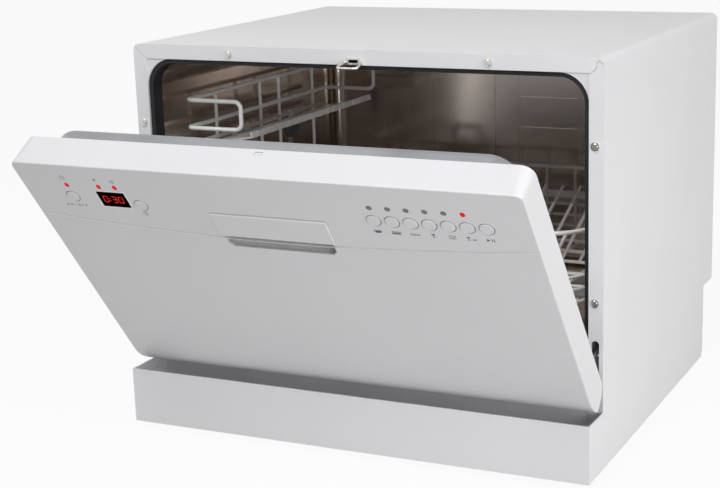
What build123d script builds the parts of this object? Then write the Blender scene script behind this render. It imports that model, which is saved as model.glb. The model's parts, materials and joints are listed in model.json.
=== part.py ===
"""Countertop dishwasher: a six-place machine with its drop-down door part open.

Sizes are in millimetres. +X is to the right seen from the front, +Y to the back, +Z up.
The origin is the middle of the footprint of the machine with its door as shown, on the worktop.
"Depth" is measured back from the cabinet's front flange, and on the door back from its outer face.
"""
import os
from math import cos, radians, sin, sqrt, tan

from build123d import *

os.makedirs("parts", exist_ok=True)

# ---------------------------------------------------------------- driving sizes
# Cabinet
width = 550.0
cabinet_depth = 458.0
cabinet_height = 431.0
foot_reach = 7.0  # what shows of each foot below the cabinet
sheet = 1.0
flange_width = 16.0
top_edge_radius = 8.0
rear_step_height = 92.0
rear_step_depth = 42.0
rear_toe_cut = 7.0
base_return = 14.3
# Plinth
plinth_reach = 44.5
plinth_height = 63.0
plinth_sheet = 1.5
plinth_tab = 12.0
# Door
door_width = 549.0
door_height = 344.0
door_thickness = 36.0
door_wall = 2.0
door_tilt = 37.0  # how far the door stands open, in degrees
door_front_gap = 43.0  # closed outer face to the cabinet's flange
door_front_corner = 8.0
door_back_corner = 13.0
door_edge_radius = 1.5
door_roll_height = 27.0
door_roll_depth = 8.0
hinge_reach = 30.0  # hinge axis in front of the flange
hinge_height = 95.0  # hinge axis above the cabinet's lower edge
hinge_rise = 29.0  # hinge axis above the door's lower edge
hinge_pin_radius = 4.0
running_gap = 0.05
# Door liner
liner_reach = 20.0
liner_half_width = 251.5
liner_low = 41.0
liner_top_inset = 5.5  # pan's upper edge below the door's top
liner_corner = 28.0
liner_sheet = 1.0
# Tub
tub_floor = 103.0  # above the cabinet's lower edge
tub_rear_gap = 12.0
tub_sheet = 1.0
tub_rear_radius = 18.0
tub_lip = 8.0
tub_front = 21.0  # the tub's folded lip behind the flange
frame_corner = 32.0
frame_wall = 1.0
gasket_width = 5.0
gasket_front = 3.0
basin_radius = 125.0
basin_drop = 9.0
# Rack
rack_front = 36.0
rack_depth = 354.0
rack_half_width = 236.0
rack_rim_height = 240.0
rack_corner = 45.0
rim_wire = 2.5
thin_wire = 2.0
floor_bar = 4.0
floor_pitch = 40.0
roller_radius = 13.0
roller_width = 9.0
runner_height = 139.0
touch_gap = 0.3
tine_lean = 27.0
tine_pitch = 22.0
tine_count = 12
# Controls
button_radius = 7.0
button_gap = 0.25
button_stroke = 1.2
button_pitch = 18.8
programme_count = 7
lamp_radius = 1.9
lamp_pitch = 18.6

# ---------------------------------------------------------------- derived sizes
low = foot_reach  # level of the cabinet's lower edge
top = low + cabinet_height
half = width / 2
inner_half = half - sheet
hinge_z = low + hinge_height
hinge_depth = door_front_gap - hinge_reach  # hinge axis behind the door's outer face
tilt = radians(door_tilt)
inward = Vector(0, cos(tilt), sin(tilt))
upward = Vector(0, -sin(tilt), cos(tilt))
door_reach = (
    hinge_reach
    + (hinge_depth - door_edge_radius) * cos(tilt)
    + (door_height - hinge_rise - door_edge_radius) * sin(tilt)
    + door_edge_radius
)
front_y = (door_reach - cabinet_depth) / 2
hinge_point = Vector(0, front_y - hinge_reach, hinge_z)
door_origin = hinge_point - inward * hinge_depth - upward * hinge_rise
opening_half = half - flange_width
opening_top = top - flange_width
tub_half_width = opening_half - gasket_width
tub_low = low + tub_floor
tub_high = opening_top - gasket_width
tub_corner = frame_corner - gasket_width
tub_middle = (tub_low + tub_high) / 2
tub_rise = tub_high - tub_low
tub_depth = cabinet_depth - tub_rear_gap
mouth_rise = tub_rise + 2 * gasket_width
runner_top = low + runner_height
axle_z = runner_top + touch_gap + roller_radius
rack_floor_top = axle_z + roller_radius + 0.7
rim_z = low + rack_rim_height
rack_back = rack_front + rack_depth
rack_middle = rack_front + rack_depth / 2


# ---------------------------------------------------------------- work planes
def facing(depth):
    """Upright plane seen from the front; sketches on it use (x, z)."""
    return Plane(origin=(0, front_y + depth, 0), x_dir=(1, 0, 0), z_dir=(0, -1, 0))


def level(z):
    """Horizontal plane; sketches on it use (x, depth)."""
    return Plane(origin=(0, front_y, z), x_dir=(1, 0, 0), z_dir=(0, 0, 1))


def side(x):
    """Upright plane seen from the left; sketches on it use (depth, z) and extrude to the right."""
    return Plane(origin=(x, front_y, 0), x_dir=(0, 1, 0), z_dir=(1, 0, 0))


def door_face(depth):
    """Plane along the tilted door; sketches on it use (x, height up the door)."""
    return Plane(origin=door_origin + inward * depth, x_dir=(1, 0, 0), z_dir=inward * -1)


def door_side(x):
    """Plane across the door; sketches on it use (depth, height up the door)."""
    return Plane(origin=door_origin + Vector(x, 0, 0), x_dir=inward, z_dir=(1, 0, 0))


def mirrored_x(value):
    """The same distance to the left and to the right."""
    return (-value, value)


pieces = {}


def keep(name, part):
    """Names a finished piece and lists it for writing."""
    part.label = name
    pieces[name] = part


# ---------------------------------------------------------------- fixings shared by several pieces
screw_hole = 2.2
screw_shank = 2.0
flange_screws_at = [
    (-152.0, top - flange_width / 2 - 1),
    (152.0, top - flange_width / 2 - 1),
    (-half + flange_width / 2, top - 88),
    (half - flange_width / 2 - 1.5, top - 89),
    (-half + flange_width / 2, low + 180),
    (half - flange_width / 2 - 1.5, low + 180),
]
corner_cut = 0.5
corner_line = [  # the sheet's wavy lap at the right corner of the flange
    (opening_half - 2, opening_top - 3),
    (half - 8.8, top - 11.7),
    (half - 7.8, top - 5.8),
    (half - 4.8, top - 3.7),
    (half - 2.2, top - 6.6),
    (half - 0.6, top - 8.5),
]
striker_hole_z = top - 12.0
striker_hole_wide, striker_hole_tall = 12.0, 3.6
slot_low = low + 62
slot_high = low + 140
slot_width = 8.0
slot_x = half - flange_width / 2 - 0.5
slot_middle = (slot_low + slot_high) / 2


def hinge_slots(margin, mode):
    """The two upright slots that the hinges reach through, this much wider on every side."""
    with Locations((-slot_x, slot_middle), (slot_x, slot_middle)):
        SlotOverall(slot_high - slot_low + 2 * margin, slot_width + 2 * margin, rotation=90, mode=mode)


# ---------------------------------------------------------------- cabinet
with BuildPart() as outer_cabinet:
    with BuildSketch(side(-half)):
        with BuildLine():
            Polyline(
                (0, low),
                (cabinet_depth - rear_step_depth - rear_toe_cut, low),
                (cabinet_depth - rear_step_depth, low + rear_toe_cut),
                (cabinet_depth - rear_step_depth, low + rear_step_height),
                (cabinet_depth, low + rear_step_height),
                (cabinet_depth, top),
                (0, top),
                close=True,
            )
        make_face()
    extrude(amount=width)
    top_edges = outer_cabinet.edges().filter_by(Axis.Y).group_by(Axis.Z)[-1]
    fillet(top_edges, radius=top_edge_radius)
    with BuildSketch(facing(sheet)):
        with Locations((0, (low + top) / 2)):
            RectangleRounded(2 * inner_half, cabinet_height - 2 * sheet, top_edge_radius - sheet)
    extrude(amount=-cabinet_depth, mode=Mode.SUBTRACT)
    with BuildSketch(level(low)):
        with Locations((0, cabinet_depth / 2 + sheet)):
            Rectangle(2 * (half - base_return), cabinet_depth)
    extrude(amount=4 * sheet, mode=Mode.SUBTRACT)
    with BuildSketch(facing(0)):
        with Locations((0, (low + opening_top) / 2)):
            Rectangle(2 * opening_half, opening_top - low)
    extrude(amount=-3 * sheet, mode=Mode.SUBTRACT)
    with BuildSketch(facing(0)):
        hinge_slots(0, Mode.ADD)
        with Locations(*flange_screws_at):
            Circle(screw_hole)
        with Locations((0, striker_hole_z)):
            Rectangle(striker_hole_wide, striker_hole_tall)
    extrude(amount=-2 * sheet, mode=Mode.SUBTRACT)
    with BuildSketch(facing(0)):
        with Locations((-half + flange_width / 2, top - flange_width / 2)):
            Rectangle(flange_width * 1.1, corner_cut, rotation=-45)
        with BuildLine():
            Polyline(*corner_line)
        trace(line_width=corner_cut)
    extrude(amount=-sheet, mode=Mode.SUBTRACT)
keep("outer_cabinet", outer_cabinet.part)

# Rear cover: one bent sheet that follows the step, inside the cabinet's rear edge
cover_inset = 2.0
cover_half = inner_half - touch_gap
step_z = low + rear_step_height
lower_back = cabinet_depth - rear_step_depth - cover_inset
upper_back = cabinet_depth - cover_inset
valve_x, valve_z = 150.0, low + 52
drain_x, drain_z = 95.0, low + 52
gland_x, gland_z = -180.0, low + 45
spigot_hole = 15.0
gland_radius = 9.0
with BuildPart() as rear_cover:
    with BuildSketch(side(-cover_half)):
        with BuildLine():
            Polyline(
                (upper_back - sheet, top - sheet - touch_gap),
                (upper_back, top - sheet - touch_gap),
                (upper_back, step_z + cover_inset),
                (lower_back, step_z + cover_inset),
                (lower_back, low + rear_toe_cut),
                (lower_back - sheet, low + rear_toe_cut),
                (lower_back - sheet, step_z + cover_inset + sheet),
                (upper_back - sheet, step_z + cover_inset + sheet),
                close=True,
            )
        make_face()
    extrude(amount=2 * cover_half)
    fillet(rear_cover.edges().filter_by(Axis.Y).group_by(Axis.Z)[-1], radius=top_edge_radius)
    with BuildSketch(facing(lower_back - sheet)):
        with Locations((valve_x, valve_z), (drain_x, drain_z)):
            Circle(spigot_hole)
        with Locations((gland_x, gland_z)):
            Circle(gland_radius)
    extrude(amount=-2 * sheet, mode=Mode.SUBTRACT)
    with BuildSketch(facing(upper_back - sheet)):
        with Locations((0, low + 150)):
            with GridLocations(70, 9, 4, 5):
                SlotOverall(54, 4)
    extrude(amount=-2 * sheet, mode=Mode.SUBTRACT)
keep("rear_cover", rear_cover.part)

# Base tray
tray_half = half - base_return + 2
tray_front = 2 * sheet + 0.5
tray_back = lower_back - 2 * sheet
tray_floor = low + sheet
tray_wall = 2.5
tray_height = 30.0
foot_inset_x = 45.0
foot_front = 38.0
foot_back = tray_back - 40
foot_hole = 5.0
boss_radius = 13.0
boss_height = 22.0
foot_spots = [(x, y) for y in (foot_front, foot_back) for x in mirrored_x(half - foot_inset_x)]
with BuildPart() as base_tray:
    with BuildSketch(level(tray_floor)):
        with Locations((0, (tray_front + tray_back) / 2)):
            Rectangle(2 * tray_half, tray_back - tray_front)
    extrude(amount=tray_height)
    with BuildSketch(level(tray_floor + tray_wall)):
        with Locations((0, (tray_front + tray_back) / 2)):
            Rectangle(2 * (tray_half - tray_wall), tray_back - tray_front - 2 * tray_wall)
    extrude(amount=tray_height, mode=Mode.SUBTRACT)
    with BuildSketch(level(tray_floor)):
        with Locations(*foot_spots):
            Circle(boss_radius)
    extrude(amount=boss_height)
    with BuildSketch(level(tray_floor)):
        with Locations(*foot_spots):
            Circle(foot_hole)
    extrude(amount=boss_height, mode=Mode.SUBTRACT)
keep("base_tray", base_tray.part)

# Feet: a moulded pad on a threaded stem
pad_radius = 12.0
stem_gap = 0.3
stem_length = 18.0


def foot(spots):
    """Levelling feet that stand at these spots."""
    with BuildPart() as feet:
        with BuildSketch(level(0)):
            with Locations(*spots):
                Circle(pad_radius)
        extrude(amount=foot_reach + sheet - touch_gap)
        chamfer(feet.edges().group_by(Axis.Z)[0], length=1.0)
        with BuildSketch(level(foot_reach)):
            with Locations(*spots):
                Circle(foot_hole - stem_gap)
        extrude(amount=stem_length)
    return feet.part


keep("front_left_foot", foot([foot_spots[0]]))
keep("front_right_foot", foot([foot_spots[1]]))
keep("rear_feet", foot(foot_spots[2:]))

# Plinth: folded sheet in front of the base
with BuildPart() as plinth:
    with BuildSketch(level(low)):
        with Locations((0, -plinth_reach / 2)):
            Rectangle(width, plinth_reach)
        with Locations((0, -plinth_reach / 2 + plinth_sheet)):
            Rectangle(width - 2 * plinth_sheet, plinth_reach, mode=Mode.SUBTRACT)
    extrude(amount=plinth_height)
    with BuildSketch(level(low)):
        with Locations((0, -plinth_reach + plinth_tab / 2)):
            Rectangle(width, plinth_tab)
    extrude(amount=plinth_sheet)
    with BuildSketch(level(low + 8)):
        with Locations(*[(x, -plinth_sheet / 2) for x in mirrored_x(half - plinth_tab / 2)]):
            Rectangle(plinth_tab, plinth_sheet)
    extrude(amount=plinth_height - 20)
keep("plinth", plinth.part)

# White frame behind the flange: it fills the corners round the tub, closes the front below it and
# turns back round the mouth to the tub's lip
with BuildPart() as tub_front_frame:
    with BuildSketch(facing(sheet)) as frame_outline:
        with Locations((0, (low + top) / 2)):
            Rectangle(2 * (inner_half - 1), cabinet_height - 4 * sheet)
        fillet(frame_outline.vertices().group_by(Axis.Y)[-1], radius=top_edge_radius)
        with Locations((0, tub_middle)):
            RectangleRounded(2 * opening_half, mouth_rise, frame_corner, mode=Mode.SUBTRACT)
        hinge_slots(frame_wall, Mode.SUBTRACT)
        with Locations(*flange_screws_at):
            Circle(screw_hole, mode=Mode.SUBTRACT)
        with Locations((0, striker_hole_z)):
            Rectangle(striker_hole_wide, striker_hole_tall, mode=Mode.SUBTRACT)
    extrude(amount=-sheet)
    with BuildSketch(facing(sheet)):
        with Locations((0, tub_middle)):
            RectangleRounded(
                2 * (opening_half + frame_wall), mouth_rise + 2 * frame_wall, frame_corner + frame_wall
            )
            RectangleRounded(2 * opening_half, mouth_rise, frame_corner, mode=Mode.SUBTRACT)
    extrude(amount=-(tub_front - sheet))
keep("tub_front_frame", tub_front_frame.part)

# Tub: steel sheets seam-welded into a box, with a folded lip at its mouth and a shallow round
# basin in its floor
hub_depth = (tub_front + tub_depth) / 2
hub_hole = 17.0
filter_x, filter_y = 62.0, hub_depth - 48
filter_hole = 30.0
salt_x, salt_y = -165.0, 105.0
salt_hole = 29.0
vent_y, vent_z = 318.0, tub_high - 120
vent_radius = 17.0
vent_neck = 12.0
seam_width = 6.0
seam_depth = 1.2
seam_gap = 0.1
seams_at = (-109.0, -20.0, 13.0, 101.0)
ribs_at = (tub_high - 94, tub_high - 134)
rib_from, rib_to = 19.0, 221.0
with BuildPart() as tub:
    with BuildSketch(facing(tub_front)):
        with Locations((0, tub_middle)):
            RectangleRounded(
                2 * (tub_half_width + tub_sheet), tub_rise + 2 * tub_sheet, tub_corner + tub_sheet
            )
    extrude(amount=-(tub_depth + tub_sheet - tub_front))
    fillet(tub.faces().sort_by(Axis.Y)[-1].edges(), radius=tub_rear_radius)
    with BuildSketch(level(tub_low - tub_sheet)):
        with Locations((0, hub_depth)):
            Circle(basin_radius)
    extrude(amount=-basin_drop, taper=30)
    offset(amount=-tub_sheet, openings=tub.faces().sort_by(Axis.Y)[0])
    with BuildSketch(facing(tub_front)):
        with Locations((0, tub_middle)):
            RectangleRounded(2 * (tub_half_width + tub_lip), tub_rise + 2 * tub_lip, tub_corner + tub_lip)
            RectangleRounded(2 * tub_half_width, tub_rise, tub_corner, mode=Mode.SUBTRACT)
    extrude(amount=-tub_sheet)
    with BuildSketch(facing(tub_depth - seam_depth)):
        with Locations(*[(x, tub_middle + 6) for x in seams_at]):
            SlotOverall(tub_rise - 90, seam_width, rotation=90)
        with Locations(*[((rib_from + rib_to) / 2, z) for z in ribs_at]):
            SlotOverall(rib_to - rib_from, seam_width)
    extrude(amount=-seam_depth)
    with BuildSketch(level(tub_low - basin_drop - 4 * tub_sheet)):
        with Locations((0, hub_depth)):
            Circle(hub_hole)
        with Locations((filter_x, filter_y)):
            Circle(filter_hole)
        with Locations((salt_x, salt_y)):
            Circle(salt_hole)
    extrude(amount=basin_drop + 10 * tub_sheet, mode=Mode.SUBTRACT)
    with BuildSketch(side(-tub_half_width - 3 * tub_sheet)):
        with Locations((vent_y, vent_z)):
            Circle(vent_neck + touch_gap)
    extrude(amount=6 * tub_sheet, mode=Mode.SUBTRACT)
    # Seams: the floor pan, the wrap of sides and top, and the drawn back are separate sheets
    with BuildSketch(level(tub_low + tub_corner)):
        with Locations((0, tub_depth / 2)):
            Rectangle(width, cabinet_depth)
    extrude(amount=seam_gap, mode=Mode.SUBTRACT)
    with BuildSketch(facing(tub_depth + tub_sheet - tub_rear_radius)):
        with Locations((0, tub_low + tub_corner + tub_rise / 2)):
            Rectangle(width, tub_rise)
    extrude(amount=seam_gap, mode=Mode.SUBTRACT)
keep("tub", tub.part)

# Runners on the tub's side walls that the rack rolls on
runner_width = 16.0
runner_drop = 8.0
runner_front = tub_front + 8
runner_back = tub_depth - tub_rear_radius
stop_height = 4.0
stop_thick = 3.0
with BuildPart() as rack_runners:
    for hand in (-1, 1):
        wall, lip = hand * tub_half_width, hand * (tub_half_width - runner_width)
        with BuildSketch(facing(runner_front)):
            with BuildLine():
                Polyline(
                    (wall, runner_top),
                    (lip, runner_top),
                    (lip, runner_top - runner_drop),
                    (lip + hand * tub_sheet, runner_top - runner_drop),
                    (lip + hand * tub_sheet, runner_top - tub_sheet),
                    (wall, runner_top - tub_sheet),
                    close=True,
                )
            make_face()
        extrude(amount=-(runner_back - runner_front))
        stop_middle = runner_top + seam_gap + stop_height / 2
        with BuildSketch(facing(runner_back - stop_thick)):
            with Locations((hand * (tub_half_width - runner_width / 2), stop_middle)):
                Rectangle(runner_width - 2, stop_height)
        extrude(amount=-stop_thick)
keep("rack_runners", rack_runners.part)

# Door seal: a soft ring inside the frame's wall, on the tub's lip
with BuildPart() as tub_gasket:
    with BuildSketch(facing(gasket_front)):
        with Locations((0, tub_middle)):
            RectangleRounded(2 * opening_half, mouth_rise, frame_corner)
            RectangleRounded(2 * tub_half_width, tub_rise, tub_corner, mode=Mode.SUBTRACT)
    extrude(amount=-(tub_front - gasket_front))
keep("tub_gasket", tub_gasket.part)

# Flange screws with washer heads and cross recesses
washer_radius = 4.4
screw_head = 3.2
with BuildPart() as flange_screws:
    with BuildSketch(facing(0)):
        with Locations(*flange_screws_at):
            Circle(washer_radius)
    extrude(amount=1.0)
    with BuildSketch(facing(-1.0)):
        with Locations(*flange_screws_at):
            Circle(screw_head)
    extrude(amount=1.4, taper=18)
    with BuildSketch(facing(0)):
        with Locations(*flange_screws_at):
            Circle(screw_shank)
    extrude(amount=-8 * sheet)
    with BuildSketch(facing(-1.6)):
        with Locations(*flange_screws_at):
            Rectangle(3.4, 0.8)
            Rectangle(0.8, 3.4)
    extrude(amount=3, mode=Mode.SUBTRACT)
keep("flange_screws", flange_screws.part)

# Latch striker: a framed hole in the flange with a wire loop that leans forward and down
striker_z = top - 17.5
striker_wire = 1.6
striker_root_z = top - 13.4
striker_root = 9.0
striker_half = 12.5
striker_reach = 16.5
striker_plate = 1.2
plate_high = top - 8.5
plate_foot = top - 15.6
loop_lean = Vector(0, -striker_reach, striker_z - striker_root_z)
loop_root = Vector(0, front_y - striker_plate / 2, striker_root_z)
loop_plane = Plane(origin=loop_root, x_dir=(1, 0, 0), z_dir=Vector(1, 0, 0).cross(loop_lean))
with BuildPart() as latch_striker:
    with BuildSketch(facing(0)):
        with BuildLine():
            Polyline(
                (-striker_root + 1, plate_high),
                (striker_root - 1, plate_high),
                (striker_root + 2, plate_foot),
                (-striker_root - 2, plate_foot),
                close=True,
            )
        make_face()
        with Locations((0, striker_hole_z)):
            Rectangle(striker_hole_wide, striker_hole_tall, mode=Mode.SUBTRACT)
    extrude(amount=striker_plate)
    with BuildLine(loop_plane) as striker_path:
        FilletPolyline(
            (-striker_root, 0),
            (-striker_half, loop_lean.length),
            (striker_half, loop_lean.length),
            (striker_root, 0),
            radius=4,
        )
    with BuildSketch(Plane(origin=striker_path.line @ 0, z_dir=striker_path.line % 0)):
        Circle(striker_wire)
    sweep(path=striker_path.line)
keep("latch_striker", latch_striker.part)

# ---------------------------------------------------------------- hinges
bracket_x = half - 12.3  # inner face of the fixed bracket plate
bracket_plate = 2.0
arm_x = half - 9.8
arm_plate = 2.0
bracket_back = 60.0
hinge_boss = 7.0
spring_x = half - 6.4
tail_reach = 46.0  # hinge axis to the spring's hook on the door arm
spring_hook = 1.1
spring_radius = 3.4
spring_bore = 1.0
spring_stud = 2.0
stud_end = spring_x + spring_hook + touch_gap  # inside the slot's outer edge, which the stud swings through
spring_foot_z = low + 24
tail = hinge_point + inward * tail_reach
tail_depth = tail.Y - front_y
tail_z = tail.Z


def place_pair(hand, near, far):
    """Left edge and width of a plate between two distances from the middle."""
    return (near if hand > 0 else -far), far - near


with BuildPart() as hinge_brackets:
    for hand in (-1, 1):
        start, thick = place_pair(hand, bracket_x, bracket_x + bracket_plate)
        with BuildSketch(side(start)):
            with BuildLine():
                Polyline(
                    (tray_front + 2, low + 16),
                    (bracket_back, low + 16),
                    (bracket_back, low + 40),
                    (tray_front + 12, hinge_z + 14),
                    (-hinge_reach + 10, hinge_z + 14),
                    (-hinge_reach - 3, hinge_z + 5),
                    (-hinge_reach, hinge_z + 3),
                    (tray_front + 2, hinge_z + 3),
                    close=True,
                )
            make_face()
            with Locations((-hinge_reach, hinge_z)):
                Circle(hinge_boss)
        extrude(amount=thick)
        start, thick = place_pair(hand, bracket_x - 3.0, arm_x + arm_plate + 1.0)
        with BuildSketch(side(start)):
            with Locations((-hinge_reach, hinge_z)):
                Circle(hinge_pin_radius)
        extrude(amount=thick)
        start, thick = place_pair(hand, bracket_x, stud_end)
        with BuildSketch(side(start)):
            with Locations((tail_depth, spring_foot_z)):
                Circle(spring_stud)
        extrude(amount=thick)
keep("hinge_brackets", hinge_brackets.part)

arm_eye = 10.0
arm_foot_height = 60.0
arm_foot_width = 14.0
with BuildPart() as hinge_arms:
    for hand in (-1, 1):
        start, thick = place_pair(hand, arm_x, arm_x + arm_plate)
        with BuildSketch(door_side(start)):
            with Locations((hinge_depth, hinge_rise)):
                Circle(arm_eye)
            with BuildLine():
                Polyline(
                    (hinge_depth - 8, hinge_rise),
                    (hinge_depth + 4, hinge_rise - 8),
                    (hinge_depth + tail_reach + 5, hinge_rise - 5),
                    (hinge_depth + tail_reach + 5, hinge_rise + 5),
                    (door_thickness - liner_sheet - 1, hinge_rise + 14),
                    (door_thickness - liner_sheet - 1, hinge_rise + arm_foot_height),
                    (hinge_depth - 3, hinge_rise + arm_foot_height),
                    close=True,
                )
            make_face()
            with Locations((hinge_depth, hinge_rise)):
                Circle(hinge_pin_radius + running_gap, mode=Mode.SUBTRACT)
        extrude(amount=thick)
        start, thick = place_pair(hand, arm_x, stud_end)
        with BuildSketch(door_side(start)):
            with Locations((hinge_depth + tail_reach, hinge_rise)):
                Circle(spring_stud)
        extrude(amount=thick)
        start, thick = place_pair(hand, arm_x - arm_foot_width, arm_x + arm_plate)
        with BuildSketch(door_side(start)):
            with Locations((door_thickness - liner_sheet - 1, hinge_rise + arm_foot_height / 2 + 10)):
                Rectangle(2, arm_foot_height - 20)
        extrude(amount=thick)
keep("hinge_arms", hinge_arms.part)

# Counterbalance springs: close-wound, between the studs on the door arms and on the brackets
coil_low = spring_foot_z + 12
coil_high = tail_z - 16
hook_gap = spring_stud + touch_gap
hook_offset = (spring_bore + spring_radius) / 2
with BuildPart() as hinge_springs:
    for hand in (-1, 1):
        with BuildSketch(level(coil_low)):
            with Locations((hand * spring_x, tail_depth)):
                Circle(spring_radius)
                Circle(spring_bore, mode=Mode.SUBTRACT)
        extrude(amount=coil_high - coil_low)
        for z_from, z_to in ((spring_foot_z + hook_gap, coil_low), (coil_high, tail_z - hook_gap)):
            with BuildSketch(level(z_from)):
                with Locations((hand * spring_x, tail_depth - hook_offset)):
                    Circle(spring_hook)
            extrude(amount=z_to - z_from)
keep("hinge_springs", hinge_springs.part)

# ---------------------------------------------------------------- door shell
side_half = door_width / 2
swing_radius = hinge_rise
lip_depth = hinge_depth
back_reach = door_thickness - hinge_depth
back_low = hinge_rise - sqrt(swing_radius**2 - back_reach**2)
overrun = 40.0
roll_radius = (door_roll_height**2 + door_roll_depth**2) / (2 * door_roll_depth)
inner_roll = roll_radius - sqrt((roll_radius - door_wall) ** 2 - (door_roll_height - door_wall) ** 2)

# Control panel layout, seen from the front: x and height up the door
power_at = (-220.0, door_height - 47)
delay_at = (-141.5, door_height - 53.5)
programmes_at = [(116.5 + button_pitch * i, door_height - 49) for i in range(programme_count)]
buttons_at = [power_at, delay_at] + programmes_at
lamp_row = door_height - 31
programme_lamps_at = [(117.4 + lamp_pitch * i, lamp_row) for i in range(programme_count - 1)]
lamps_at = [(-219.0, lamp_row + 1), (-180.5, lamp_row + 1.5), (-161.5, lamp_row + 1.5)] + programme_lamps_at
lamp_gap = 0.1
display_at = (-171.5, door_height - 48)
display_width, display_height = 33.0, 22.0
display_gap = 0.2
# Handle: a flap hinged along its top over a recess with a cup behind both
flap_half = 64.0
flap_low = door_height - 89
flap_high = door_height - 57
flap_proud = 2.0
flap_thick = 3.5
flap_side_gap = 0.5
flap_top_gap = 0.9
flap_pivot_depth = 4.2
flap_pivot_height = flap_high - 2.5
flap_pin = 1.5
recess_half = 60.5
recess_low = door_height - 106.4
recess_bevel = 4.5
crease_low = door_height - 94
crease_high = door_height - 76
crease_width = 0.8
crease_depth = 0.5
# Latch hook, which comes up through the door's top edge
hook_half = 4.0
hook_front = door_front_gap - striker_reach + striker_wire + 0.5
hook_thick = 4.0
guide_gap = 0.3


def door_block():
    """The door's solid outline: rolled under at the bottom, cut back round the hinge."""
    with BuildPart() as block:
        with BuildSketch(door_side(-side_half)):
            with BuildLine():
                Line((0, door_roll_height), (0, door_height))
                Line((0, door_height), (door_thickness, door_height))
                Line((door_thickness, door_height), (door_thickness, back_low))
                RadiusArc((door_thickness, back_low), (lip_depth, 0), swing_radius)
                Line((lip_depth, 0), (door_roll_depth, 0))
                RadiusArc((door_roll_depth, 0), (0, door_roll_height), roll_radius)
            make_face()
        extrude(amount=door_width)
        for depth, corner in ((0, door_front_corner), (door_thickness, door_back_corner)):
            with BuildSketch(door_face(depth)):
                with Locations((0, (door_height - overrun) / 2)):
                    RectangleRounded(door_width, door_height + overrun, corner)
        loft(mode=Mode.INTERSECT)
        outward = Axis(door_origin, inward)
        front_face = block.faces().filter_by(outward).sort_by(outward)[0]
        rims = front_face.edges().sort_by(Axis(door_origin, upward))[1:]
        fillet(rims, radius=door_edge_radius)
    return block.part


def door_hollow():
    """What is inside the door's walls, open at the back and below."""
    crown = door_height - door_wall
    with BuildPart() as hollow:
        with BuildSketch(door_side(-side_half + door_wall)):
            with BuildLine():
                Polyline(
                    (door_wall, door_roll_height),
                    (door_wall, crown),
                    (door_thickness, crown),
                    (door_thickness, -door_wall),
                    (lip_depth, -door_wall),
                    (lip_depth, door_wall),
                    (inner_roll, door_wall),
                )
                RadiusArc((inner_roll, door_wall), (door_wall, door_roll_height), roll_radius - door_wall)
            make_face()
        extrude(amount=door_width - 2 * door_wall)
        for depth, corner in (
            (door_wall, door_front_corner - door_wall),
            (door_thickness, door_back_corner - door_wall),
        ):
            with BuildSketch(door_face(depth)):
                with Locations((0, (crown - overrun) / 2)):
                    RectangleRounded(door_width - 2 * door_wall, crown + overrun, corner)
        loft(mode=Mode.INTERSECT)
    return hollow.part


with BuildPart() as door_outer_panel:
    add(door_block())
    add(door_hollow(), mode=Mode.SUBTRACT)
    with BuildSketch(door_face(-1)):
        with BuildLine():
            Polyline(
                (-recess_half, flap_low),
                (-recess_half, recess_low + recess_bevel),
                (-recess_half + recess_bevel, recess_low),
                (recess_half - recess_bevel, recess_low),
                (recess_half, recess_low + recess_bevel),
                (recess_half, flap_low),
                close=True,
            )
        make_face()
        with Locations((0, (flap_low - flap_side_gap + flap_high + flap_top_gap) / 2)):
            Rectangle(
                2 * (flap_half + flap_side_gap),
                flap_high + flap_top_gap - flap_low + flap_side_gap,
            )
        with Locations(display_at):
            Rectangle(display_width + 2 * display_gap, display_height + 2 * display_gap)
        with Locations(*buttons_at):
            Circle(button_radius + button_gap)
        with Locations(*lamps_at):
            Circle(lamp_radius + lamp_gap)
    extrude(amount=-2 * door_wall, mode=Mode.SUBTRACT)
    with BuildSketch(door_face(-1)):
        with BuildLine():
            ThreePointArc((-side_half, crease_high), (0, crease_low), (side_half, crease_high))
            Line((side_half, crease_high), (side_half, crease_high + crease_width))
            ThreePointArc(
                (side_half, crease_high + crease_width),
                (0, crease_low + crease_width),
                (-side_half, crease_high + crease_width),
            )
            Line((-side_half, crease_high + crease_width), (-side_half, crease_high))
        make_face()
    extrude(amount=-1 - crease_depth, mode=Mode.SUBTRACT)
    with BuildSketch(door_side(-hook_half - guide_gap)):
        with Locations((hook_front + hook_thick / 2, door_height)):
            Rectangle(hook_thick + 2 * guide_gap, 4 * door_wall)
    extrude(amount=2 * (hook_half + guide_gap), mode=Mode.SUBTRACT)
keep("door_outer_panel", door_outer_panel.part)

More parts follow.
